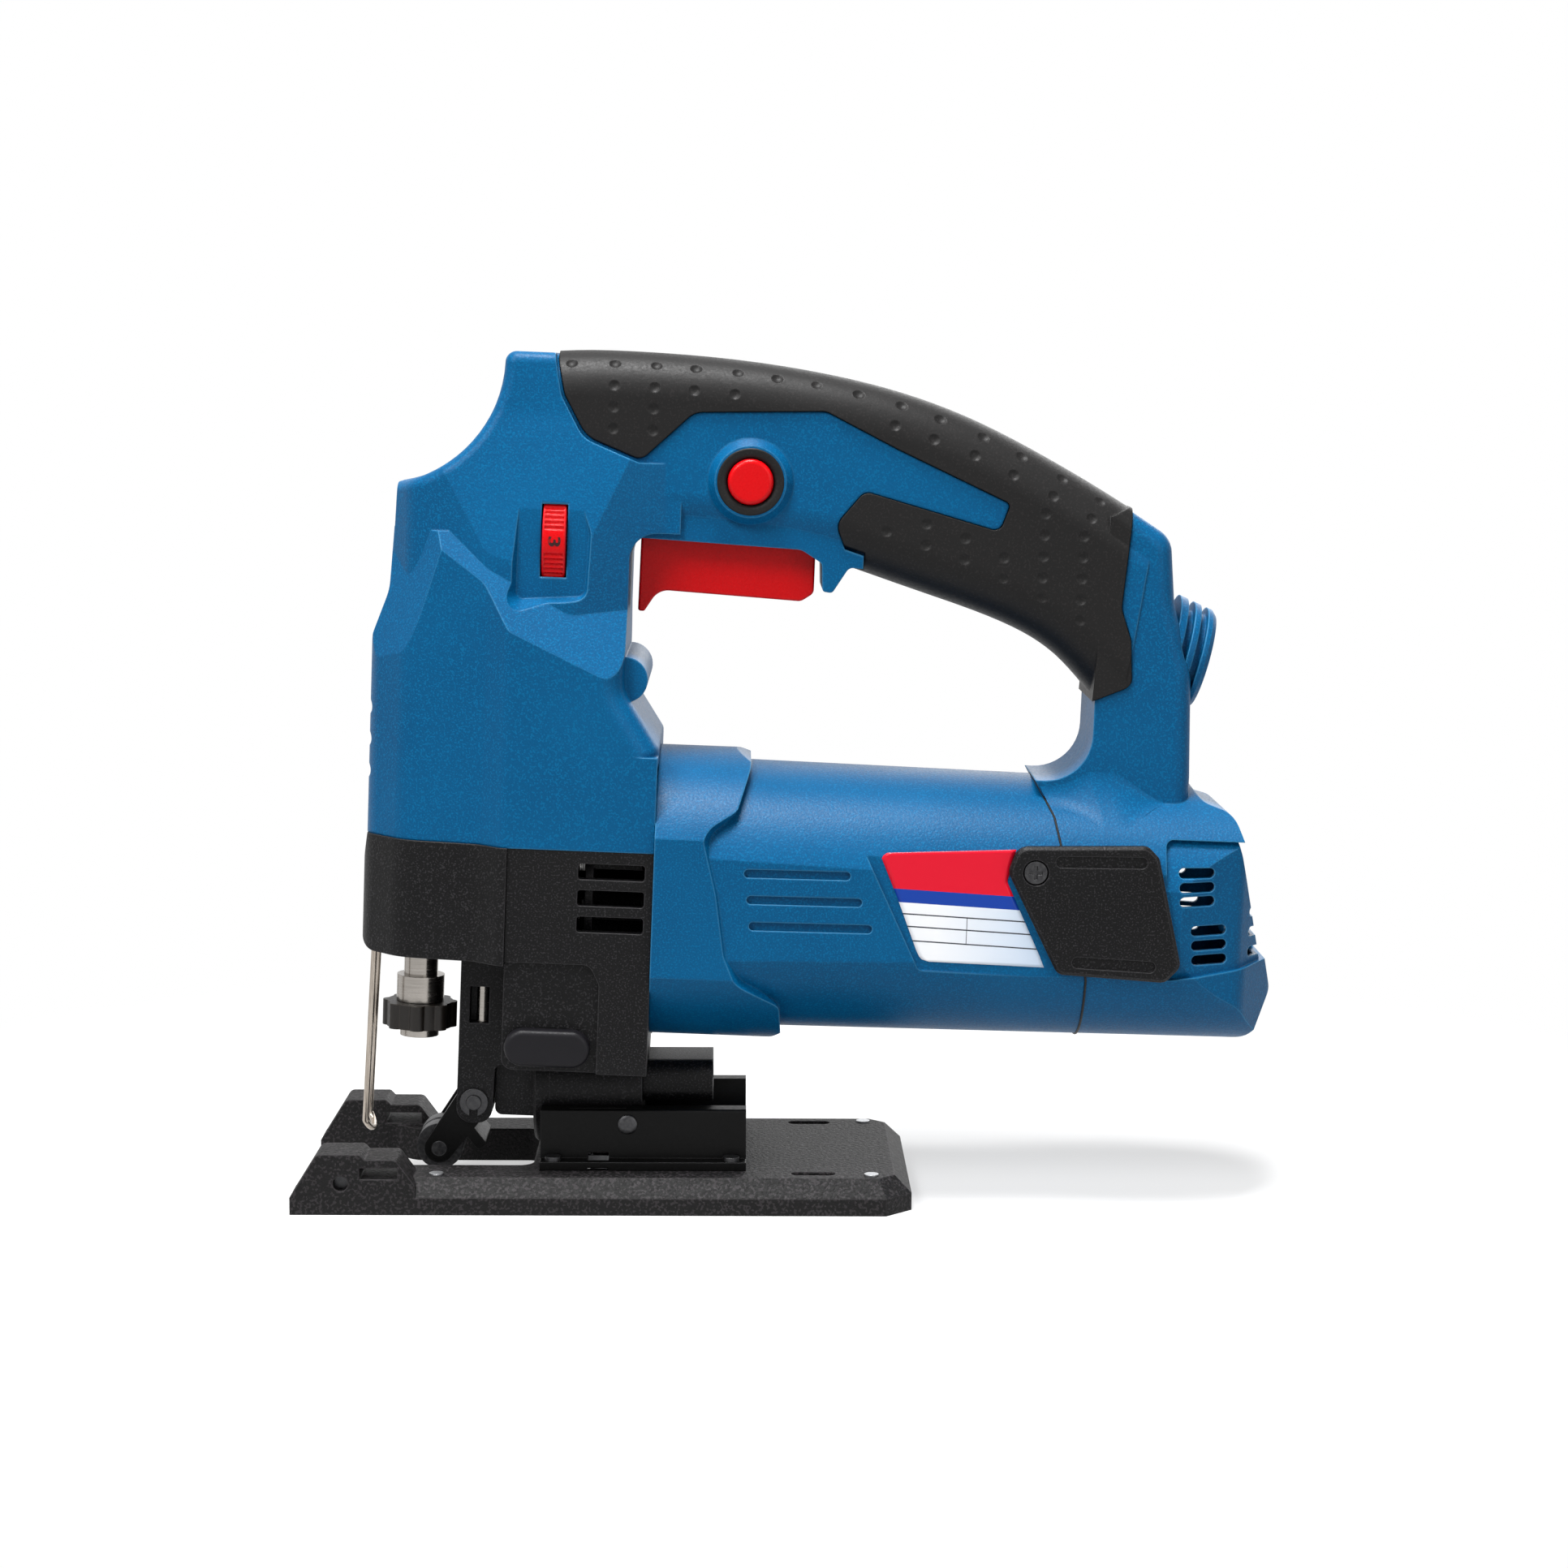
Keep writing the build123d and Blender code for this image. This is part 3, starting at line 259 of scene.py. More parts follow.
@dataclass(frozen=True)
class MouldedPlastic:
    """Injection-moulded thermoplastic: an even colour, a spark-eroded grain and softly broken edges."""

    name: str
    colour: str
    shade: str
    roughness: float
    grain_mm: float
    grain_height_mm: float
    edge_mm: float
    gloss: float = 0.5
    fleck: str = ""
    fleck_from: float = 0.66
    wear_and_highlight: str = ""
    cloud_mm: float = 34.0
    fleck_scale: float = 0.8
    fleck_fade: float = 0.08
    rough_swing: float = 0.06
    wear_highlight_bend: tuple[float, float] = (0.985, 0.86)
    wear_highlight_reach_mm: float = 1.5
    wear_highlight_open: tuple[float, float] = (0.7, 0.95)
    ior: float = 1.5

    def build(self) -> bpy.types.Material:
        """Make the material: cloudy colour, grain in bump and roughness, flecks if filled, and a paler colour
        on open outer edges, partly rubbed wear and partly a painted edge highlight.

        Returns:
            The finished material.
        """
        material, tree, shader = new_tree(self.name)
        where = add(tree, "ShaderNodeTexCoord").outputs["Object"]
        cloud = add(tree, "ShaderNodeTexNoise", {"Vector": where, "Scale": per_metre(self.cloud_mm),
                                                 "Detail": 3.0})
        colour = ramp(tree, cloud.outputs["Fac"], [(0.32, self.shade), (0.68, self.colour)])
        grain = add(tree, "ShaderNodeTexNoise", {"Vector": where, "Scale": per_metre(self.grain_mm),
                                                 "Detail": 2.0, "Roughness": 0.55}).outputs["Fac"]
        if self.fleck:
            scale = per_metre(self.grain_mm * self.fleck_scale)
            speck = add(tree, "ShaderNodeTexNoise", {"Vector": where, "Scale": scale, "Detail": 1.0})
            edges = (self.fleck_from, self.fleck_from + self.fleck_fade)
            colour = mix(tree, remap(tree, speck.outputs["Fac"], edges), colour, linear(self.fleck))
        swing = (self.roughness - self.rough_swing, self.roughness + self.rough_swing)
        rough = remap(tree, grain, NOISE_SWING, swing)
        edge = add(tree, "ShaderNodeBevel", {"Radius": self.edge_mm * MM}, samples=RAY_SAMPLES)
        # Paler colour on open outer edges: partly rubbed wear, partly a painted highlight along the edges.
        if self.wear_and_highlight:
            flat = add(tree, "ShaderNodeNewGeometry").outputs["Normal"]
            bend = add(tree, "ShaderNodeVectorMath", {0: flat, 1: edge.outputs["Normal"]},
                       operation="DOT_PRODUCT")
            wear_highlight_mask = remap(tree, bend.outputs["Value"], self.wear_highlight_bend)
            air = add(tree, "ShaderNodeAmbientOcclusion", {"Distance": self.wear_highlight_reach_mm * MM},
                      samples=RAY_SAMPLES)
            outer = remap(tree, air.outputs["AO"], self.wear_highlight_open)
            colour = mix(tree, math_node(tree, "MULTIPLY", wear_highlight_mask, outer), colour, linear(self.wear_and_highlight))
        join(tree, shader, {"Base Color": colour, "Roughness": rough,
                            "Normal": relief(tree, grain, edge, self.grain_height_mm)})
        shader.inputs["IOR"].default_value = self.ior
        shader.inputs["Specular IOR Level"].default_value = self.gloss
        return material


@dataclass(frozen=True)
class MachinedMetal:
    """Bare metal with tool marks drawn out along one axis, or with stacked sheets across it."""

    name: str
    colour: str
    shade: str
    roughness: float
    mark_mm: tuple[float, float, float]
    mark_height_mm: float
    edge_mm: float = 0.25
    rough_swing: float = 0.07

    def build(self) -> bpy.types.Material:
        """Make the material: streaks stretched by a mapping, in colour, roughness and bump.

        Returns:
            The finished material.
        """
        material, tree, shader = new_tree(self.name)
        where = add(tree, "ShaderNodeTexCoord").outputs["Object"]
        scale = tuple(per_metre(m) for m in self.mark_mm)
        drawn = add(tree, "ShaderNodeMapping", {"Vector": where, "Scale": scale})
        marks = add(tree, "ShaderNodeTexNoise", {"Vector": drawn.outputs["Vector"], "Scale": 1.0,
                                                 "Detail": 3.0}).outputs["Fac"]
        colour = ramp(tree, marks, [(NOISE_SWING[0], self.shade), (NOISE_SWING[1], self.colour)])
        swing = (self.roughness - self.rough_swing, self.roughness + self.rough_swing)
        rough = remap(tree, marks, NOISE_SWING, swing)
        edge = add(tree, "ShaderNodeBevel", {"Radius": self.edge_mm * MM}, samples=RAY_SAMPLES)
        join(tree, shader, {"Base Color": colour, "Roughness": rough,
                            "Normal": relief(tree, marks, edge, self.mark_height_mm)})
        shader.inputs["Metallic"].default_value = 1.0
        return material


# Finishes with a wear_and_highlight colour get it on their open outer edges: partly rubbed wear, partly a
# painted edge highlight.
# Glass-filled nylon shell, moulded against a spark-eroded cavity: satin, with a faint sparkle of grain.
# The real grain is near 0.15 mm; it is drawn at 0.6 mm so that it shows in the render.
BLUE_NYLON = MouldedPlastic("blue_glass_filled_nylon", "#005381", "#004C78", 0.42, 0.6, 0.07, 0.7, 0.13,
                            fleck="#005F8E", fleck_from=0.54, wear_and_highlight="#3A82AE")
# The same blue without broken edges and without the pale edge colour of wear and painted highlight, for a form
# that runs smoothly into its neighbours.
BLENDED_NYLON = replace(BLUE_NYLON, name="blue_nylon_blended", edge_mm=0.02, wear_and_highlight="")
# The same nylon in carbon black, with the fibre ends showing as pale flecks.
BLACK_NYLON = MouldedPlastic("black_glass_filled_nylon", "#0B0B0C", "#060607", 0.46, 0.6, 0.08, 0.5, 0.16,
                             fleck="#2A292B", fleck_from=0.57, wear_and_highlight="#3C3B3D")
# Die-cast base under a coarse textured paint: dull, with pale crests on its grain.
BLACK_CASTING = MouldedPlastic("textured_black_casting", "#0C0B0C", "#070707", 0.6, 1.0, 0.3, 0.7, 0.2,
                               fleck="#2C292B", fleck_from=0.53, wear_and_highlight="#3A3739")
# Pressed steel under black stove enamel: smoother than the nylon around it, and blacker, the extra blackness
# partly painted shade for these low parts under the head.
BLACK_ENAMEL_AND_SHADE = MouldedPlastic("black_enamel_with_painted_shade", "#050505", "#030303", 0.42, 0.9, 0.03, 0.4, 0.12,
                              wear_and_highlight="#2B2B2C")
# Overmoulded thermoplastic rubber: soft and dull, with a faint bloom of specks.
GRIP_RUBBER = MouldedPlastic("black_thermoplastic_rubber", "#0F0E0E", "#0B0A0A", 0.5, 0.7, 0.03, 0.5, 0.22,
                             fleck="#1B1919", fleck_from=0.58)
# Acetal controls: smooth, with a gentle gloss.
RED_ACETAL = MouldedPlastic("red_acetal", "#D20009", "#C80007", 0.28, 0.8, 0.01, 0.5, 0.2, wear_and_highlight="#E0262C")
# Unfilled nylon knob: nearly black, with a pale rim that is partly rubbed wear and partly a painted edge
# highlight.
GREY_NYLON = MouldedPlastic("grey_nylon", "#141317", "#0D0C10", 0.44, 0.6, 0.03, 0.7, 0.18, wear_and_highlight="#4B494E")
# Glass-filled collar of the blade clamp: brown-black from the mould, satin.
BROWN_NYLON = MouldedPlastic("brown_black_nylon", "#1F1B18", "#181512", 0.4, 0.7, 0.03, 0.5, 0.3,
                             wear_and_highlight="#4A443E")
# Pressed carbon of the brushes: dull and slightly porous.
CARBON = MouldedPlastic("pressed_carbon", "#1A1A1A", "#131313", 0.7, 0.4, 0.04, 0.2)
# Stamping ink in the dial's numbers: dull, nearly black over the red.
NUMBER_INK = MouldedPlastic("dark_stamping_ink", "#2A0204", "#220103", 0.55, 0.3, 0.004, 0.05, 0.3)
# Centreless-ground steel: bright, with fine rings around the axis.
GROUND_STEEL = MachinedMetal("ground_steel", "#A6A19B", "#98938D", 0.22, (9.0, 9.0, 0.5), 0.002)
# Drawn stainless wire: long streaks down its length.
DRAWN_WIRE = MachinedMetal("drawn_stainless_wire", "#BDB3A8", "#978E84", 0.3, (0.4, 0.4, 9.0), 0.004, 0.1)
# Zinc-plated screw steel: greyer and softer.
ZINC_STEEL = MachinedMetal("zinc_plated_steel", "#B9BBBD", "#9A9C9F", 0.36, (0.8, 0.8, 0.8), 0.006, 0.15)
# Black-oxide steel: dark, with a dull sheen.
OXIDE_STEEL = MachinedMetal("black_oxide_steel", "#4A4A4B", "#38383A", 0.42, (0.9, 0.9, 0.9), 0.008, 0.3)
# Punched electrical steel stacked along the motor axis.
LAMINATIONS = MachinedMetal("stacked_electrical_steel", "#8F9296", "#6C6F73", 0.4, (0.5, 30.0, 30.0), 0.03,
                            0.15)
# Sintered bronze bushes: dull gold and porous.
BRONZE = MachinedMetal("sintered_bronze", "#B98A4E", "#9A6F3B", 0.5, (0.5, 0.5, 0.5), 0.02, 0.2)
# Enamelled copper windings, wound around the motor axis.
COPPER = MachinedMetal("enamelled_copper", "#B5632F", "#8F4A21", 0.35, (0.7, 0.7, 0.7), 0.05, 0.2)

NODE_FINISHES: dict[Any, tuple[str, ...]] = {
    BLUE_NYLON: ("left_shell", "right_shell", "motor_housing", "cord_gland"),
    BLACK_NYLON: ("gear_housing", "nose_cover", "dust_outlet", "left_brush_cover", "right_brush_cover",
                  "switch_module", "speed_module", "fan"),
    BLACK_CASTING: ("base_plate",),
    BLACK_ENAMEL_AND_SHADE: ("bevel_bracket", "roller_lever"),
    GRIP_RUBBER: ("left_grip_pad", "right_grip_pad", "plunger_seal"),
    RED_ACETAL: ("trigger", "lock_button", "speed_dial"),
    GREY_NYLON: ("selector_knob",),
    BROWN_NYLON: ("clamp_ring",),
    CARBON: ("carbon_brushes",),
    GROUND_STEEL: ("plunger", "blade_clamp", "stop_pin", "gear_pin", "armature_shaft", "selector_shaft",
                   "front_bearing", "rear_bearing"),
    DRAWN_WIRE: ("wire_guard",),
    ZINC_STEEL: ("shell_screws", "sole_rivets", "bevel_screw"),
    OXIDE_STEEL: ("guide_roller", "lever_pin", "lever_clips", "roller_axle", "brush_cover_screws",
                  "bracket_rivets", "fence_screws", "pinion", "drive_gear", "crank_roller", "lower_guide"),
    LAMINATIONS: ("stator_core", "armature_core"),
    BRONZE: ("upper_bush", "lower_bush", "brush_holders"),
    COPPER: ("field_coils", "armature_windings", "commutator"),
}


def pitched(points: np.ndarray) -> np.ndarray:
    """Turn upright body millimetres into row metres, pitching them 2 degrees about the bevel line.

    Args:
        points: Array of shape (..., 3) in body millimetres.

    Returns:
        Array of the same shape in row metres.
    """
    c, s = math.cos(PITCH), math.sin(PITCH)
    dx = points[..., 0] - PITCH_X
    dz = points[..., 2] - PITCH_Z
    return np.stack([PITCH_X + dx * c + dz * s, points[..., 1], PITCH_Z - dx * s + dz * c], axis=-1) * MM


def unit(vectors: np.ndarray) -> np.ndarray:
    """Scale each row to a length of one.

    Args:
        vectors: Array of shape (n, 3).

    Returns:
        Array of the same shape.
    """
    return vectors / np.linalg.norm(vectors, axis=1, keepdims=True)


def tube(path: np.ndarray, ahead: np.ndarray, lean: np.ndarray, radius: float, sides: int) -> np.ndarray:
    """Carry a circle along a path, square to it: P = path + r (cos t out + sin t (ahead x out)).

    Args:
        path: Centre line of shape (n, 3).
        ahead: Unit directions along it, of shape (n, 3).
        lean: Directions that the circle starts from, squared up to the path.
        radius: Radius of the tube.
        sides: Points around it.

    Returns:
        Points of shape (n, sides + 1, 3), with the seam doubled.
    """
    out = unit(lean - (lean * ahead).sum(axis=1, keepdims=True) * ahead)
    turn = np.linspace(0.0, FULL_TURN, sides + 1)[None, :, None]
    ring = np.cos(turn) * out[:, None, :] + np.sin(turn) * np.cross(ahead, out)[:, None, :]
    return path[:, None, :] + radius * ring


def settle(piece: bpy.types.Object, material: bpy.types.Material, body: Body) -> None:
    """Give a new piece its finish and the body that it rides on.

    Args:
        piece: The new piece.
        material: Its finish.
        body: CAD body that carries it.
    """
    piece.data.materials.append(material)
    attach(piece, body.value)
    LOG.info("%s: %d vertices", piece.name, len(piece.data.vertices))


def grid_mesh(name: str, points: np.ndarray, uv: Optional[np.ndarray] = None,
              weld: bool = False) -> bpy.types.Object:
    """Make a quad-grid mesh object from an array of points.

    Args:
        name: Object and mesh name.
        points: Array of shape (rows, columns, 3) in row metres.
        uv: Array of shape (rows, columns, 2), or None for no UV map.
        weld: True for a closed form, whose seams and poles are merged and whose faces are turned outwards.

    Returns:
        The new object, linked to the scene, at the origin.
    """
    rows, cols = points.shape[:2]
    index = np.arange(rows * cols).reshape(rows, cols)
    quads = np.stack([index[:-1, :-1], index[:-1, 1:], index[1:, 1:], index[1:, :-1]], axis=-1).reshape(-1, 4)
    mesh = bpy.data.meshes.new(name)
    mesh.from_pydata(points.reshape(-1, 3).tolist(), [], quads.tolist())
    if uv is not None:
        layer = mesh.uv_layers.new(name="UVMap")
        layer.data.foreach_set("uv", uv.reshape(-1, 2)[quads.reshape(-1)].astype(np.float32).reshape(-1))
    if weld:
        form = bmesh.new()
        form.from_mesh(mesh)
        bmesh.ops.remove_doubles(form, verts=form.verts, dist=WELD_M)
        bmesh.ops.recalc_face_normals(form, faces=form.faces)
        form.to_mesh(mesh)
        form.free()
    mesh.polygons.foreach_set("use_smooth", np.ones(len(mesh.polygons), dtype=bool))
    if weld:
        mesh.set_sharp_from_angle(angle=math.radians(SMOOTH_DEG))
    piece = bpy.data.objects.new(name, mesh)
    bpy.context.scene.collection.objects.link(piece)
    return piece


@dataclass(frozen=True)
class PrintedPlate:
    """Printed vinyl plate: colour bands and thin rules by its own UV map, under a clear satin film."""

    name: str = "printed_vinyl_plate"
    red: str = "#DC0A2A"
    blue: str = "#0C3C9E"
    white: str = "#F1F3F6"
    pale: str = "#C3D5EA"
    rule: str = "#3A3D44"
    red_end: float = 0.39
    blue_end: float = 0.505
    rows: tuple[float, ...] = (0.6, 0.71, 0.833)
    row_rule: float = 0.011
    post: float = 0.52
    post_rule: float = 0.007

    def build(self) -> bpy.types.Material:
        """Make the material: bands down the plate's length, then rules drawn over the white rows.

        Returns:
            The finished material.
        """
        material, tree, shader = new_tree(self.name)
        uv = add(tree, "ShaderNodeTexCoord").outputs["UV"]
        split = add(tree, "ShaderNodeSeparateXYZ", {"Vector": uv})
        across, down = split.outputs["X"], split.outputs["Y"]
        black, lit = "#000000", "#FFFFFF"
        bands = ramp(tree, down, [(0.0, self.red), (self.red_end, self.blue)], "CONSTANT")
        paper = ramp(tree, across, [(0.35, self.white), (1.0, self.pale)])
        lower = ramp(tree, down, [(0.0, black), (self.blue_end, lit)], "CONSTANT")
        field = mix(tree, lower, bands, paper)
        marks = [(0.0, black)]
        for row in self.rows:
            marks += [(row, lit), (row + self.row_rule, black)]
        rules = ramp(tree, down, marks, "CONSTANT")
        post_end = self.post + self.post_rule
        upright = ramp(tree, across, [(0.0, black), (self.post, lit), (post_end, black)], "CONSTANT")
        middle = ramp(tree, down, [(0.0, black), (self.rows[0], lit), (self.rows[-1], black)], "CONSTANT")
        lines = math_node(tree, "MAXIMUM", math_node(tree, "MULTIPLY", upright, middle), rules)
        join(tree, shader, {"Base Color": mix(tree, lines, field, linear(self.rule))})
        shader.inputs["Roughness"].default_value = 0.35
        shader.inputs["Specular IOR Level"].default_value = 0.2
        shader.inputs["Coat Weight"].default_value = 0.1
        shader.inputs["Coat Roughness"].default_value = 0.12
        return material


@dataclass
class RatingPlate:
    """Plain plate stuck on the motor's flat flank, running under the brush cover."""

    left: tuple[tuple[float, float], ...] = ((23.4, 98.05), (21.9, 96.9), (26.5, 86.5), (32.2, 72.4),
                                             (33.3, 70.3), (35.6, 69.6))
    right: tuple[tuple[float, float], ...] = ((57.2, 100.2), (56.9, 98.9), (55.2, 91.6), (64.6, 72.4),
                                              (65.5, 70.3), (66.0, 69.2))
    stops: tuple[float, ...] = (0.0, 0.04, 0.36, 0.9, 0.97, 1.0)
    print_top: tuple[float, float] = (40.0, 100.0)
    print_size: tuple[float, float] = (46.0, 30.0)
    print_left: float = 21.0
    print_slope: float = 0.03
    proud: float = 0.18

    def surface(self, columns: int = 25, rows: int = 41) -> tuple[np.ndarray, np.ndarray]:
        """Rule a surface between two edge lines: P(u, v) = (1 - u) left(v) + u right(v).

        The print lies on straight rows that fall slowly to the right, whatever the plate's outline does.

        Args:
            columns: Points across.
            rows: Points down.

        Returns:
            Points of shape (rows, columns, 3) in row metres, and their UV of shape (rows, columns, 2).
        """
        v = np.linspace(0.0, 1.0, rows)
        u = np.linspace(0.0, 1.0, columns)
        edge = [np.stack([np.interp(v, self.stops, [p[axis] for p in line]) for axis in (0, 1)], axis=1)
                for line in (self.left, self.right)]
        flat = (1 - u)[None, :, None] * edge[0][:, None, :] + u[None, :, None] * edge[1][:, None, :]
        y = np.full(flat.shape[:2], FLANK_Y - self.proud)
        points = np.stack([flat[..., 0], y, flat[..., 1]], axis=-1)
        across = (flat[..., 0] - self.print_left) / self.print_size[0]
        row = self.print_top[1] - self.print_slope * (flat[..., 0] - self.print_top[0])
        uv = np.stack([across, (row - flat[..., 1]) / self.print_size[1]], axis=-1)
        return pitched(points), uv

    def build(self) -> None:
        """Build the plate with a thin body and its printed finish, riding on the head."""
        points, uv = self.surface()
        piece = grid_mesh("rating_plate", points[::-1], uv[::-1])
        thin = piece.modifiers.new("film", "SOLIDIFY")
        thin.thickness = self.proud * MM
        thin.offset = -1.0
        settle(piece, PrintedPlate().build(), Body.HEAD)


@dataclass(frozen=True)
class TurnedPiece:
    """Small round piece: a profile of (along, radius) pairs carried around an axle along X or Y."""

    name: str
    centre: tuple[float, float, float]
    along_x: bool
    profile: tuple[tuple[float, float], ...]
    body: Body
    slot: Slot
    finish: str
    upright: bool = False

    def surface(self, turns: int = 72) -> np.ndarray:
        """Turn the profile: each point goes around the axle at its own radius.

        Args:
            turns: Steps around the axle.

        Returns:
            Points of shape (turns + 1, profile, 3) in row metres, with the seam doubled.
        """
        angle = np.linspace(0.0, FULL_TURN, turns + 1)[:, None]
        along, radius = (np.array(column)[None, :] for column in zip(*self.profile))
        swing, rise = radius * np.cos(angle), radius * np.sin(angle)
        along = np.broadcast_to(along, swing.shape)
        parts = (along, swing, rise) if self.along_x else (swing, along, rise)
        points = np.stack(parts, axis=-1) + np.array(self.centre)
        return points * MM if self.upright else pitched(points)

    def build(self) -> None:
        """Build the piece and give it its finish and its body."""
        piece = grid_mesh(self.name, self.surface(), weld=True)
        settle(piece, bpy.data.materials[self.finish], self.body)


# Dark rubber ring around the lock button, which paints the shade in the button's recess; stud on the bracket's
# wall; and collar of the bevel shoe in its trough.
TURNED_PIECES: tuple[TurnedPiece, ...] = (
    TurnedPiece("button_shade_ring", (LOCK_X, 0.0, LOCK_Z), False,
                ((-18.0, 6.12), (-18.9, 6.12), (-19.3, 6.5), (-19.62, 7.4), (-19.62, 8.6), (-19.2, 9.0),
                 (-18.0, 9.0), (-18.0, 6.12)), Body.HEAD, Slot.RUBBER, GRIP_RUBBER.name),
    TurnedPiece("bracket_stud", (-42.2, 0.0, 20.6), False,
                ((-21.9, 0.0), (-21.9, 2.6), (-22.7, 2.6), (-23.0, 2.2), (-23.2, 1.2), (-23.25, 0.0)),
                Body.BASE, Slot.SCREW, OXIDE_STEEL.name, True),
    TurnedPiece("shoe_collar", (0.0, 0.0, 28.0), True,
                ((-67.9, 0.0), (-67.9, 15.9), (-67.2, 16.6), (-63.2, 16.6), (-63.2, 0.0)),
                Body.HEAD, Slot.BLACK, BLACK_NYLON.name, True),
)


@dataclass
class NeckWeb:
    """Bulkhead inside the hood's rear mouth, which closes its corners around the motor's round neck."""

    axle_z: float = AXLE_Z
    neck_r: float = 31.5
    half_mouth: float = 30.2
    mouth_top: float = 117.8
    foot_deg: float = 27.0
    along: tuple[float, float] = (-40.0, -38.0)

    def surface(self, steps: int = 81) -> np.ndarray:
        """Rule between a circle and the mouth: at angle a, r runs from the neck to min(w / |cos a|, h / sin a).

        Args:
            steps: Steps from the right foot over the top to the left foot.

        Returns:
            Points of shape (steps + 2, 5, 3) in row metres, each end drawn together to close it.
        """
        foot = math.radians(self.foot_deg)
        angle = np.linspace(foot, math.pi - foot, steps)
        side = self.half_mouth / np.maximum(np.abs(np.cos(angle)), TINY)
        outer = np.minimum(side, (self.mouth_top - self.axle_z) / np.sin(angle))
        inner = np.full(steps, self.neck_r)
        radius = np.stack([inner, outer, outer, inner, inner], axis=1)
        front, rear = self.along
        x = np.broadcast_to(np.array([front, front, rear, rear, front]), radius.shape)
        z = self.axle_z + radius * np.sin(angle)[:, None]
        loops = np.stack([x, radius * np.cos(angle)[:, None], z], axis=-1)
        first, last = (np.broadcast_to(loops[i:i + 1, :4].mean(axis=1, keepdims=True), loops[:1].shape)
                       for i in (0, steps - 1))
        return pitched(np.concatenate([first, loops, last]))

    def build(self) -> None:
        """Build the web in the shell's own nylon."""
        piece = grid_mesh("neck_web", self.surface(), weld=True)
        settle(piece, bpy.data.materials[BLUE_NYLON.name], Body.HEAD)


@dataclass(frozen=True)
class SeamShadowCord:
    """Thin black cord in the raked seam between motor barrel and rear cap, a dark piece that paints the shadow
    in the seam's groove.
    """

    axle_z: float = AXLE_Z
    rear_r: float = 35.14
    half_width: float = 33.5
    cord_r: float = 0.32
    heights: tuple[float, ...] = (30.0, 66.0, 101.0, 108.0, 117.0, 126.0)
    places: tuple[float, ...] = (78.4, 77.2, 69.2, 67.6, 62.6, 59.5)

    def surface(self, steps: int = 360, sides: int = 10) -> np.ndarray:
        """Carry a small circle around the flattened barrel: r(a) = min(r, w / |cos a|).

        The place along x follows the seam's height.

        Args:
            steps: Steps around the barrel.
            sides: Points around the cord.

        Returns:
            Points of shape (steps + 1, sides + 1, 3) in row metres, with both seams doubled.
        """
        angle = np.linspace(0.0, FULL_TURN, steps + 1)
        radius = np.minimum(self.rear_r, self.half_width / np.maximum(np.abs(np.cos(angle)), TINY))
        z = self.axle_z + radius * np.sin(angle)
        path = np.stack([np.interp(z, self.heights, self.places), radius * np.cos(angle), z], axis=1)
        ahead = unit(np.gradient(np.concatenate([path[-2:-1], path, path[1:2]]), axis=0)[1:-1])
        lean = np.stack([np.zeros_like(angle), np.cos(angle), np.sin(angle)], axis=1)
        return pitched(tube(path, ahead, lean, self.cord_r, sides))

    def build(self) -> None:
        """Build the cord in black rubber, as painted shadow along the seam."""
        piece = grid_mesh("seam_shadow_cord", self.surface(), weld=True)
        settle(piece, bpy.data.materials[GRIP_RUBBER.name], Body.HEAD)


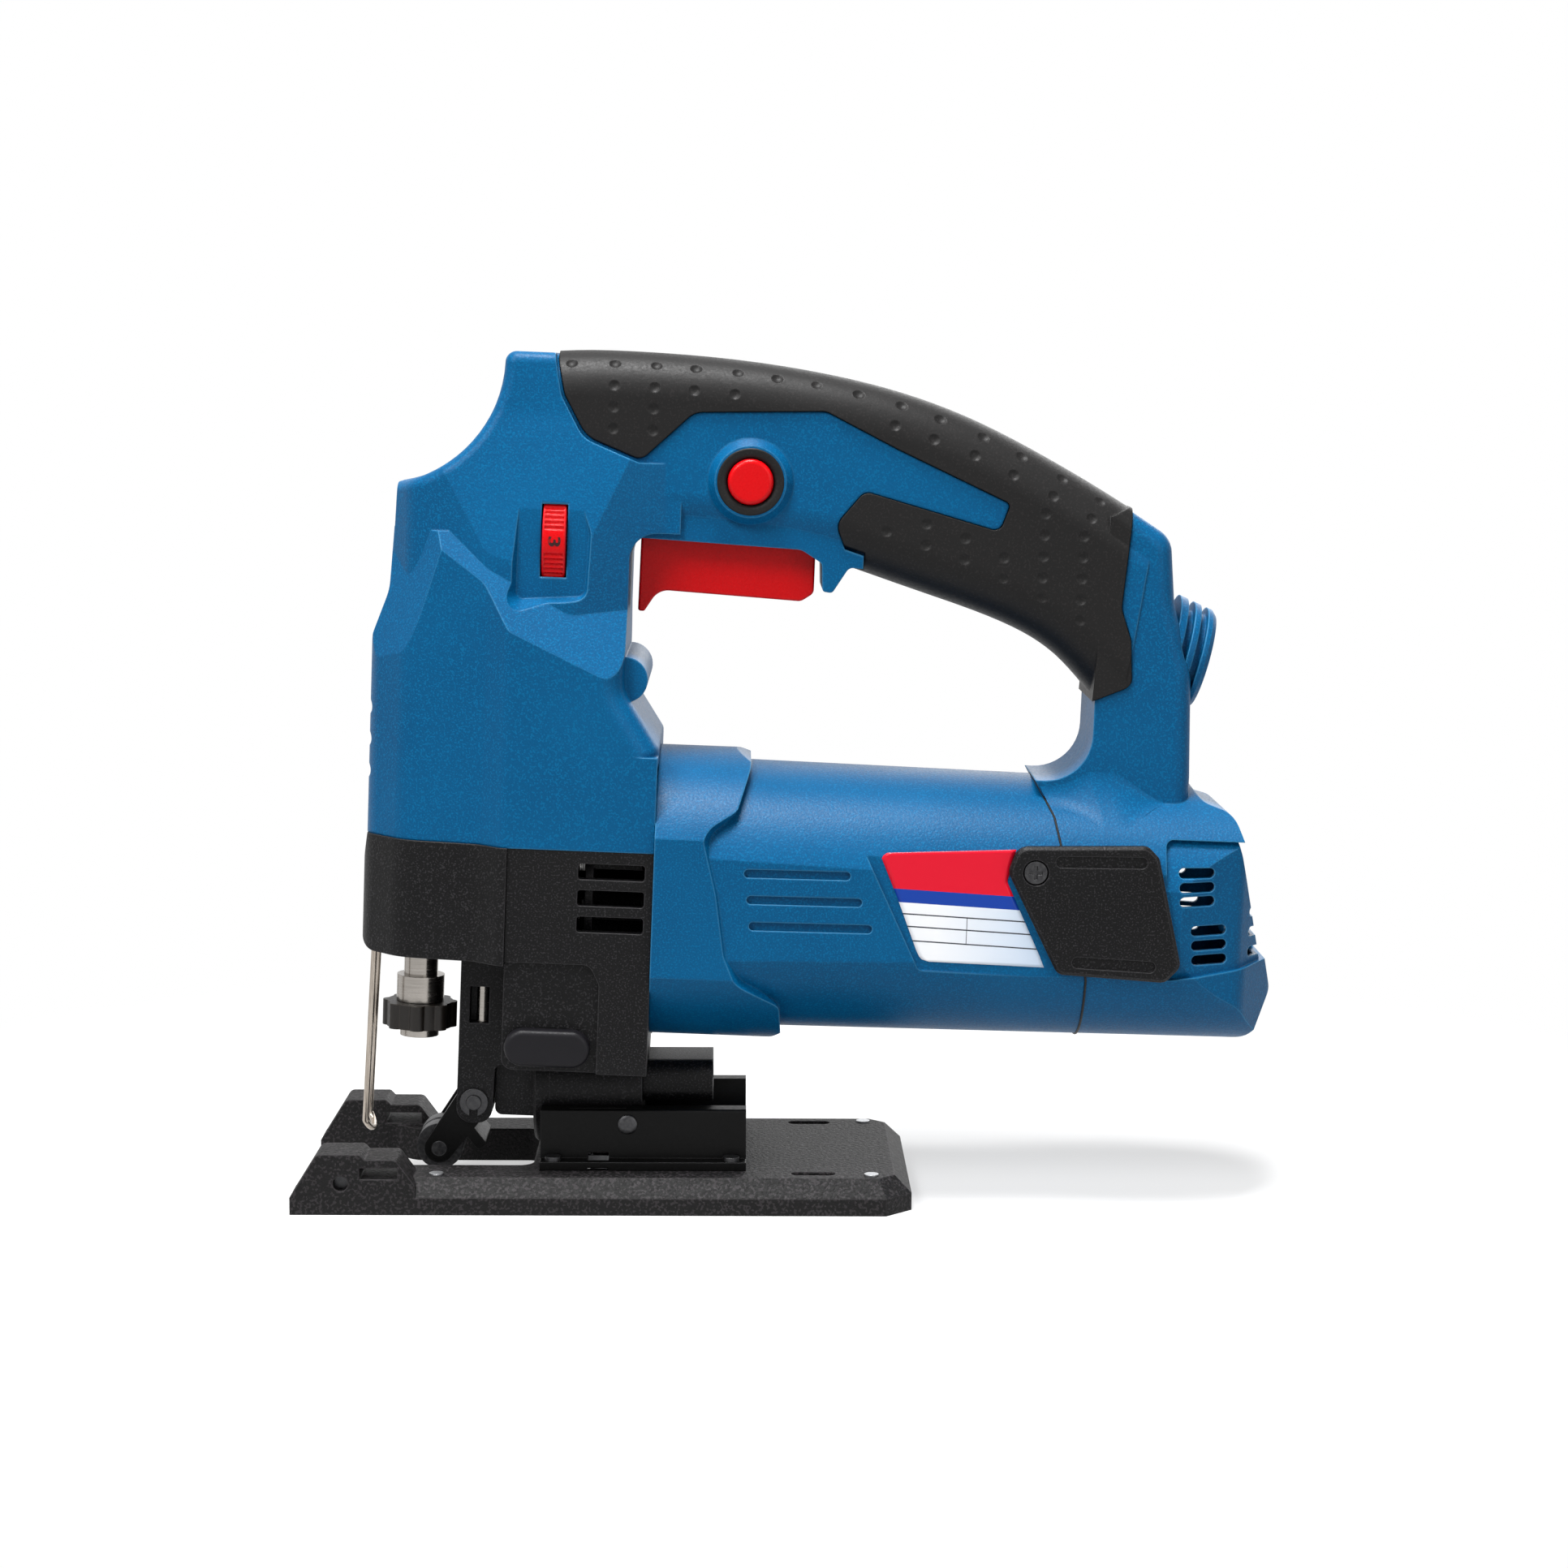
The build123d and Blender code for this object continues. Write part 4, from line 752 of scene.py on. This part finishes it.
@dataclass
class ColumnFlare:
    """Moulded flare that carries the rear column's flank down into the rear cap, from the seam backwards."""

    flank: float = 16.6
    axle_z: float = AXLE_Z
    height: float = 9.0
    spread_deg: float = 19.0
    fade: float = 82.0
    end: float = 99.6
    arch: tuple[float, float, float] = (64.9, 129.3, 12.5)
    brim: float = 116.5
    sink: float = 0.06
    barrel_r: float = 36.3
    barrel_taper: float = 0.0108
    barrel_x: float = -37.5
    arch_gap: float = 0.6
    knee_share: float = 0.1
    root: float = 2.0
    seam: SeamShadowCord = SeamShadowCord()

    def front(self, height: np.ndarray) -> np.ndarray:
        """Find where the flare starts, just behind the seam.

        Args:
            height: Heights in body millimetres.

        Returns:
            Places along x.
        """
        return np.interp(np.minimum(height, self.brim), self.seam.heights, self.seam.places) + self.seam.cord_r

    def surface(self, side: int, steps: int = 72, points_across: int = 17) -> np.ndarray:
        """Sweep a concave curve, tangent to flank and barrel, along x: P = (1-t)^2 A + 2t(1-t) Q + t^2 B.

        A lies on the flank, B on the barrel, and Q where their tangents meet. The height is a soft minimum of
        its own limit and the room below the D-opening's arch. It fades to nothing at the rear.

        Args:
            side: -1 for the left flank, 1 for the right.
            steps: Steps along x.
            points_across: Points on the curve.

        Returns:
            Points of shape (steps + 1, points_across + 2, 3) in row metres, the front end drawn together.
        """
        share = np.linspace(0.0, 1.0, steps)
        start = self.front(np.array(self.brim))
        x = start + share * (self.end - start)
        radius = self.barrel_r - self.barrel_taper * (x - self.barrel_x) - self.sink
        flank = self.flank - self.sink
        corner = self.axle_z + np.sqrt(radius ** 2 - flank ** 2)
        reach = np.clip(x - self.arch[0], 0.0, self.arch[2])
        ceiling = self.arch[1] - np.sqrt(np.maximum(self.arch[2] ** 2 - reach ** 2, 0.0))
        late = np.clip((self.end - x) / (self.end - self.fade), 0.0, 1.0)
        room = ceiling - corner - self.arch_gap
        softly = room * self.height / np.cbrt(room ** 3 + self.height ** 3)
        height = softly * late * late * (3.0 - 2.0 * late)
        angle = np.arctan2(corner - self.axle_z, flank) - np.radians(self.spread_deg) * height / self.height
        top = np.stack([np.full(steps, flank), corner + height], axis=1)
        foot = np.stack([radius * np.cos(angle), self.axle_z + radius * np.sin(angle)], axis=1)
        meet = foot[:, 1] + (foot[:, 0] - flank) * np.cos(angle) / np.sin(angle)
        knee = np.stack([np.full(steps, flank), np.minimum(meet, top[:, 1] - self.knee_share * height)], axis=1)
        t = np.linspace(0.0, 1.0, points_across)[None, :, None]
        curve = (1 - t) ** 2 * top[:, None] + 2 * t * (1 - t) * knee[:, None] + t ** 2 * foot[:, None]
        root = np.stack([np.full(steps, flank - self.root), corner - self.root], axis=1)[:, None]
        loop = np.concatenate([curve, root, curve[:, :1]], axis=1)
        first = self.front(loop[..., 1])
        along = first + share[:, None] * (self.end - first)
        points = np.stack([along, side * loop[..., 0], loop[..., 1]], axis=-1)
        cap = np.broadcast_to(points[:1, :-1].mean(axis=1, keepdims=True), points[:1].shape)
        return pitched(np.concatenate([cap, points]))

    def build(self) -> None:
        """Build both flares in the shell's nylon, without its broken edges."""
        nylon = BLENDED_NYLON.build()
        for name, side in (("left_flare", -1), ("right_flare", 1)):
            settle(grid_mesh(name, self.surface(side), weld=True), nylon, Body.HEAD)


@dataclass
class WireGuard:
    """Bent wire in front of the blade: two upright legs joined by a bow that kicks back at the foot."""

    top: tuple[float, float] = (-112.6, 68.0)
    foot: tuple[float, float] = (-114.0, 15.0)
    half_gap: float = 5.2
    kick: float = 1.6
    drop: float = 2.8
    wire_r: float = 0.85

    def path(self, leg_steps: int = 24, bow_points: int = 33) -> np.ndarray:
        """Centre line: leg, half ellipse, leg. On the bow y = g cos t, x and z follow sin t.

        Args:
            leg_steps: Steps down each leg.
            bow_points: Points on the bow.

        Returns:
            Array of shape (n, 3) in body millimetres.
        """
        down = np.linspace(0.0, 1.0, leg_steps, endpoint=False)[:, None]
        line = (1 - down) * np.array([self.top]) + down * np.array([self.foot])
        leg = np.stack([line[:, 0], np.full(len(line), self.half_gap), line[:, 1]], axis=1)
        t = np.linspace(0.0, math.pi, bow_points)
        bow = np.stack([self.foot[0] + self.kick * np.sin(t), self.half_gap * np.cos(t),
                        self.foot[1] - self.drop * np.sin(t)], axis=1)
        return np.concatenate([leg, bow, (leg * np.array([1.0, -1.0, 1.0]))[::-1]])

    def surface(self, sides: int = 20) -> np.ndarray:
        """Carry a circle along the centre line, square to it, and close both ends to a point.

        Args:
            sides: Points around the wire.

        Returns:
            Points of shape (n, sides + 1, 3) in row metres.
        """
        path = self.path()
        ahead = unit(np.gradient(path, axis=0))
        wire = tube(path, ahead, np.array([[1.0, 0.0, 0.0]]), self.wire_r, sides)
        tips = [np.broadcast_to(path[i:i + 1, None, :], wire[:1].shape) for i in (0, len(path) - 1)]
        return pitched(np.concatenate([tips[0], wire, tips[1]]))

    def build(self) -> None:
        """Build the guard in place of its plain solid."""
        piece = grid_mesh("bent_guard", self.surface(), weld=True)
        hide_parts("wire_guard")
        settle(piece, bpy.data.materials[DRAWN_WIRE.name], Body.HEAD)


@dataclass
class DialWheel:
    """Thumb wheel of the speed dial: groups of fine ribs between smooth pads that carry the numbers 1 to 6."""

    centre: tuple[float, float, float] = (-66.8, -8.5, 175.4)
    radius: float = 16.2
    bore: float = 2.0
    half_width: float = 3.1
    edge: float = 0.55
    rib_depth: float = 0.5
    sectors: int = 8
    ribs: int = 5
    pad_share: float = 0.46
    number_size: float = 4.4
    number_stretch: float = 1.45
    number_weight: float = 0.1
    ink_lift: float = 0.03
    rib_end: float = 0.12
    rib_mid: float = 0.8
    front_number: int = 3
    numbers_to: int = 6

    def wrap(self, angle: np.ndarray, radius: np.ndarray, across: np.ndarray) -> np.ndarray:
        """Place points on the wheel: angle 0 faces the operator's left and grows upwards.

        Args:
            angle: Angles about the wheel's axle, in radians.
            radius: Distances from the axle in millimetres.
            across: Places along the axle in millimetres.

        Returns:
            Array of points in row metres.
        """
        x = self.centre[0] + across
        y = self.centre[1] - radius * np.cos(angle)
        z = self.centre[2] + radius * np.sin(angle)
        return pitched(np.stack(np.broadcast_arrays(x, y, z), axis=-1))

    def rim(self, turns: int = 1152) -> np.ndarray:
        """Carry the wheel's cross-section around its axle, sinking the rim between ribs by a raised cosine.

        Args:
            turns: Steps around the wheel.

        Returns:
            Points of shape (turns + 1, section, 3) in row metres, with both seams doubled.
        """
        angle = np.linspace(0.0, FULL_TURN, turns + 1)
        place = (angle * self.sectors / FULL_TURN + self.pad_share / 2.0) % 1.0
        along = np.clip((place - self.pad_share) / (1.0 - self.pad_share), 0.0, 1.0)
        sink = self.rib_depth * (0.5 - 0.5 * np.cos(FULL_TURN * self.ribs * along))
        w, r, e = self.half_width, self.radius, self.edge
        step = 0.3 * e
        half = [(w, self.bore, 0), (w, r - e, 0), (w - step, r - step, 0), (w - e, r, 0),
                (w - e - self.rib_end, r, 1), (self.rib_mid, r, 1)]
        section = [(-a, h, k) for a, h, k in half] + half[::-1] + [(-w, self.bore, 0)]
        across, height, ribbed = (np.array(column) for column in zip(*section))
        radius = height[None, :] - sink[:, None] * ribbed[None, :]
        return self.wrap(angle[:, None], radius, across[None, :])

    def numbers(self) -> bpy.types.Object:
        """Print the numbers on their pads, their tops towards the tail, wrapped around the rim.

        Returns:
            One mesh object with all six numbers.
        """
        points, faces, count = [], [], 0
        for number in range(1, self.numbers_to + 1):
            curve = bpy.data.curves.new(f"number_{number}", "FONT")
            curve.body = str(number)
            curve.size = self.number_size
            curve.offset = self.number_weight
            curve.align_x, curve.align_y = "CENTER", "CENTER"
            curve.resolution_u = 6
            text = bpy.data.objects.new(f"number_{number}", curve)
            flat = bpy.data.meshes.new_from_object(text)
            spots = np.empty(len(flat.vertices) * 3)
            flat.vertices.foreach_get("co", spots)
            spots = spots.reshape(-1, 3)
            pad = (number - self.front_number) * FULL_TURN / self.sectors
            angle = pad - self.number_stretch * spots[:, 0] / self.radius
            points.append(self.wrap(angle, np.full(len(spots), self.radius + self.ink_lift), spots[:, 1]))
            faces += [[v + count for v in face.vertices] for face in flat.polygons]
            count += len(spots)
            bpy.data.objects.remove(text)
            bpy.data.curves.remove(curve)
            bpy.data.meshes.remove(flat)
        mesh = bpy.data.meshes.new("dial_numbers")
        mesh.from_pydata(np.concatenate(points).tolist(), [], faces)
        piece = bpy.data.objects.new("dial_numbers", mesh)
        bpy.context.scene.collection.objects.link(piece)
        return piece

    def build(self, acetal: bpy.types.Material) -> None:
        """Build the wheel in place of its plain solid, and its numbers.

        Args:
            acetal: Finish of the wheel.
        """
        wheel = grid_mesh("dial_wheel", self.rim(), weld=True)
        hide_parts("speed_dial")
        settle(wheel, acetal, Body.DIAL)
        settle(self.numbers(), NUMBER_INK.build(), Body.DIAL)


def dress_nodes() -> None:
    """Give every CAD node its finish, one material per finish."""
    for finish, nodes in NODE_FINISHES.items():
        material = finish.build()
        for name in nodes:
            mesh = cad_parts[name].data
            mesh.materials.clear()
            mesh.materials.append(material)
        LOG.info("%s: %s", material.name, ", ".join(nodes))
    bare = set(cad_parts) - {name for nodes in NODE_FINISHES.values() for name in nodes}
    if bare:
        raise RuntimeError(f"no finish for {sorted(bare)}")


@dataclass(frozen=True)
class SoftBox:
    """One square studio lamp."""

    name: str
    place: tuple[float, float, float]
    aim: tuple[float, float, float]
    size: float
    watts: float

    def build(self) -> bpy.types.Object:
        """Make the lamp and point it.

        Returns:
            The lamp object.
        """
        data = bpy.data.lights.new(self.name, "AREA")
        data.shape = "SQUARE"
        data.size = self.size
        data.energy = self.watts
        lamp = bpy.data.objects.new(self.name, data)
        bpy.context.scene.collection.objects.link(lamp)
        lamp.location = self.place
        lamp.rotation_euler = (Vector(self.aim) - Vector(self.place)).to_track_quat("-Z", "Y").to_euler()
        return lamp


@dataclass(frozen=True)
class Studio:
    """Camera solved from the photograph, soft boxes, and a pale floor under a white surround."""

    place_mm: tuple[float, float, float] = (-12.44, -868.02, 220.54)
    yaw_deg: float = 0.781
    pitch_deg: float = 7.273
    roll_deg: float = 0.351
    lens_mm: float = 74.16
    sensor_mm: float = 36.0
    clip_start: float = 0.01
    sky_levels: tuple[float, float] = (0.2, 1.0)
    floor_half: float = 6.0
    floor_lit: str = "#A6A6A6"
    floor_seen: str = "#F4F4F4"
    floor_fade: tuple[float, float] = (0.12, 0.34)
    floor_glow: tuple[float, float] = (0.55, 1.0)
    boxes: tuple[SoftBox, ...] = (
        SoftBox("key", (-0.8, -0.95, 1.2), (0.0, 0.0, 0.12), 0.6, 16.5),
        SoftBox("fill", (0.95, -1.2, 0.6), (0.0, 0.0, 0.1), 0.9, 4.5),
        SoftBox("top", (-0.1, -0.2, 1.4), (0.0, 0.0, 0.1), 0.45, 28.0),
        SoftBox("back", (0.5, 1.2, 0.7), (0.0, 0.0, 0.1), 0.9, 7.0),
    )

    def camera(self) -> None:
        """Set the camera by its look, right and up directions."""
        yaw, pitch, roll = (math.radians(a) for a in (self.yaw_deg, self.pitch_deg, self.roll_deg))
        look = Vector((math.sin(yaw) * math.cos(pitch), math.cos(yaw) * math.cos(pitch), -math.sin(pitch)))
        flat_right = Vector((math.cos(yaw), -math.sin(yaw), 0.0))
        flat_up = flat_right.cross(look)
        right = math.cos(roll) * flat_right + math.sin(roll) * flat_up
        up = -math.sin(roll) * flat_right + math.cos(roll) * flat_up
        data = bpy.data.cameras.new("camera")
        data.sensor_fit = "HORIZONTAL"
        data.sensor_width = self.sensor_mm
        data.lens = self.lens_mm
        data.clip_start = self.clip_start
        camera = bpy.data.objects.new("camera", data)
        turn = Matrix((right, up, -look)).transposed().to_4x4()
        camera.matrix_world = Matrix.Translation(Vector(self.place_mm) * MM) @ turn
        bpy.context.scene.collection.objects.link(camera)
        bpy.context.scene.camera = camera

    def seen_directly(self, tree: bpy.types.NodeTree) -> bpy.types.NodeSocket:
        """One for camera, glossy and transmission rays, and zero for the rays that light the object.

        Args:
            tree: Node tree that gets the Light Path nodes.

        Returns:
            The factor's socket.
        """
        path = add(tree, "ShaderNodeLightPath")
        first = math_node(tree, "MAXIMUM", path.outputs["Is Camera Ray"], path.outputs["Is Glossy Ray"])
        return math_node(tree, "MAXIMUM", first, path.outputs["Is Transmission Ray"])

    def surround(self) -> None:
        """White world for what is seen, and a plain soft level for what it lights."""
        world = bpy.data.worlds.new("surround")
        world.use_nodes = True
        tree = world.node_tree
        tree.nodes.clear()
        level = remap(tree, self.seen_directly(tree), (0.0, 1.0), self.sky_levels)
        sky = add(tree, "ShaderNodeBackground", {"Color": WHITE, "Strength": level})
        add(tree, "ShaderNodeOutputWorld", {"Surface": sky.outputs["Background"]})
        bpy.context.scene.world = world

    def floor(self) -> None:
        """Wide pale floor that keeps a soft shadow near the object and turns white further out."""
        span = np.linspace(-self.floor_half, self.floor_half, 3)
        x, y = np.meshgrid(span, span)
        piece = grid_mesh("floor", np.stack([x, y, np.zeros_like(x)], axis=-1))
        material = bpy.data.materials.new("pale_floor")
        material.use_nodes = True
        tree = material.node_tree
        tree.nodes.clear()
        seen = self.seen_directly(tree)
        tone = mix(tree, seen, linear(self.floor_lit), linear(self.floor_seen))
        matte = add(tree, "ShaderNodeBsdfDiffuse", {"Color": tone})
        glow = add(tree, "ShaderNodeEmission", {"Color": WHITE, "Strength": 1.0})
        where = add(tree, "ShaderNodeTexCoord").outputs["Object"]
        away = add(tree, "ShaderNodeVectorMath", {0: where}, operation="LENGTH").outputs["Value"]
        pale = remap(tree, away, self.floor_fade, self.floor_glow, interpolation_type="SMOOTHSTEP")
        share = math_node(tree, "MULTIPLY", seen, pale)
        mixed = add(tree, "ShaderNodeMixShader", {0: share, 1: matte.outputs["BSDF"],
                                                  2: glow.outputs["Emission"]})
        add(tree, "ShaderNodeOutputMaterial", {"Surface": mixed.outputs["Shader"]})
        piece.data.materials.append(material)

    def build(self) -> None:
        """Set up camera, lamps, surround and floor."""
        bpy.context.scene.view_settings.view_transform = "Standard"
        self.camera()
        for box in self.boxes:
            box.build()
        self.surround()
        self.floor()
        LOG.info("studio: %d soft boxes", len(self.boxes))


def main() -> None:
    """Build the studio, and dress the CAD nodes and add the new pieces."""
    logging.basicConfig(level=logging.INFO, format="%(name)s: %(message)s")
    Studio().build()
    dress_nodes()
    RatingPlate().build()
    DialWheel().build(bpy.data.materials[RED_ACETAL.name])
    WireGuard().build()
    NeckWeb().build()
    SeamShadowCord().build()
    ColumnFlare().build()
    for turned in TURNED_PIECES:
        turned.build()


if __name__ == "__main__":
    main()
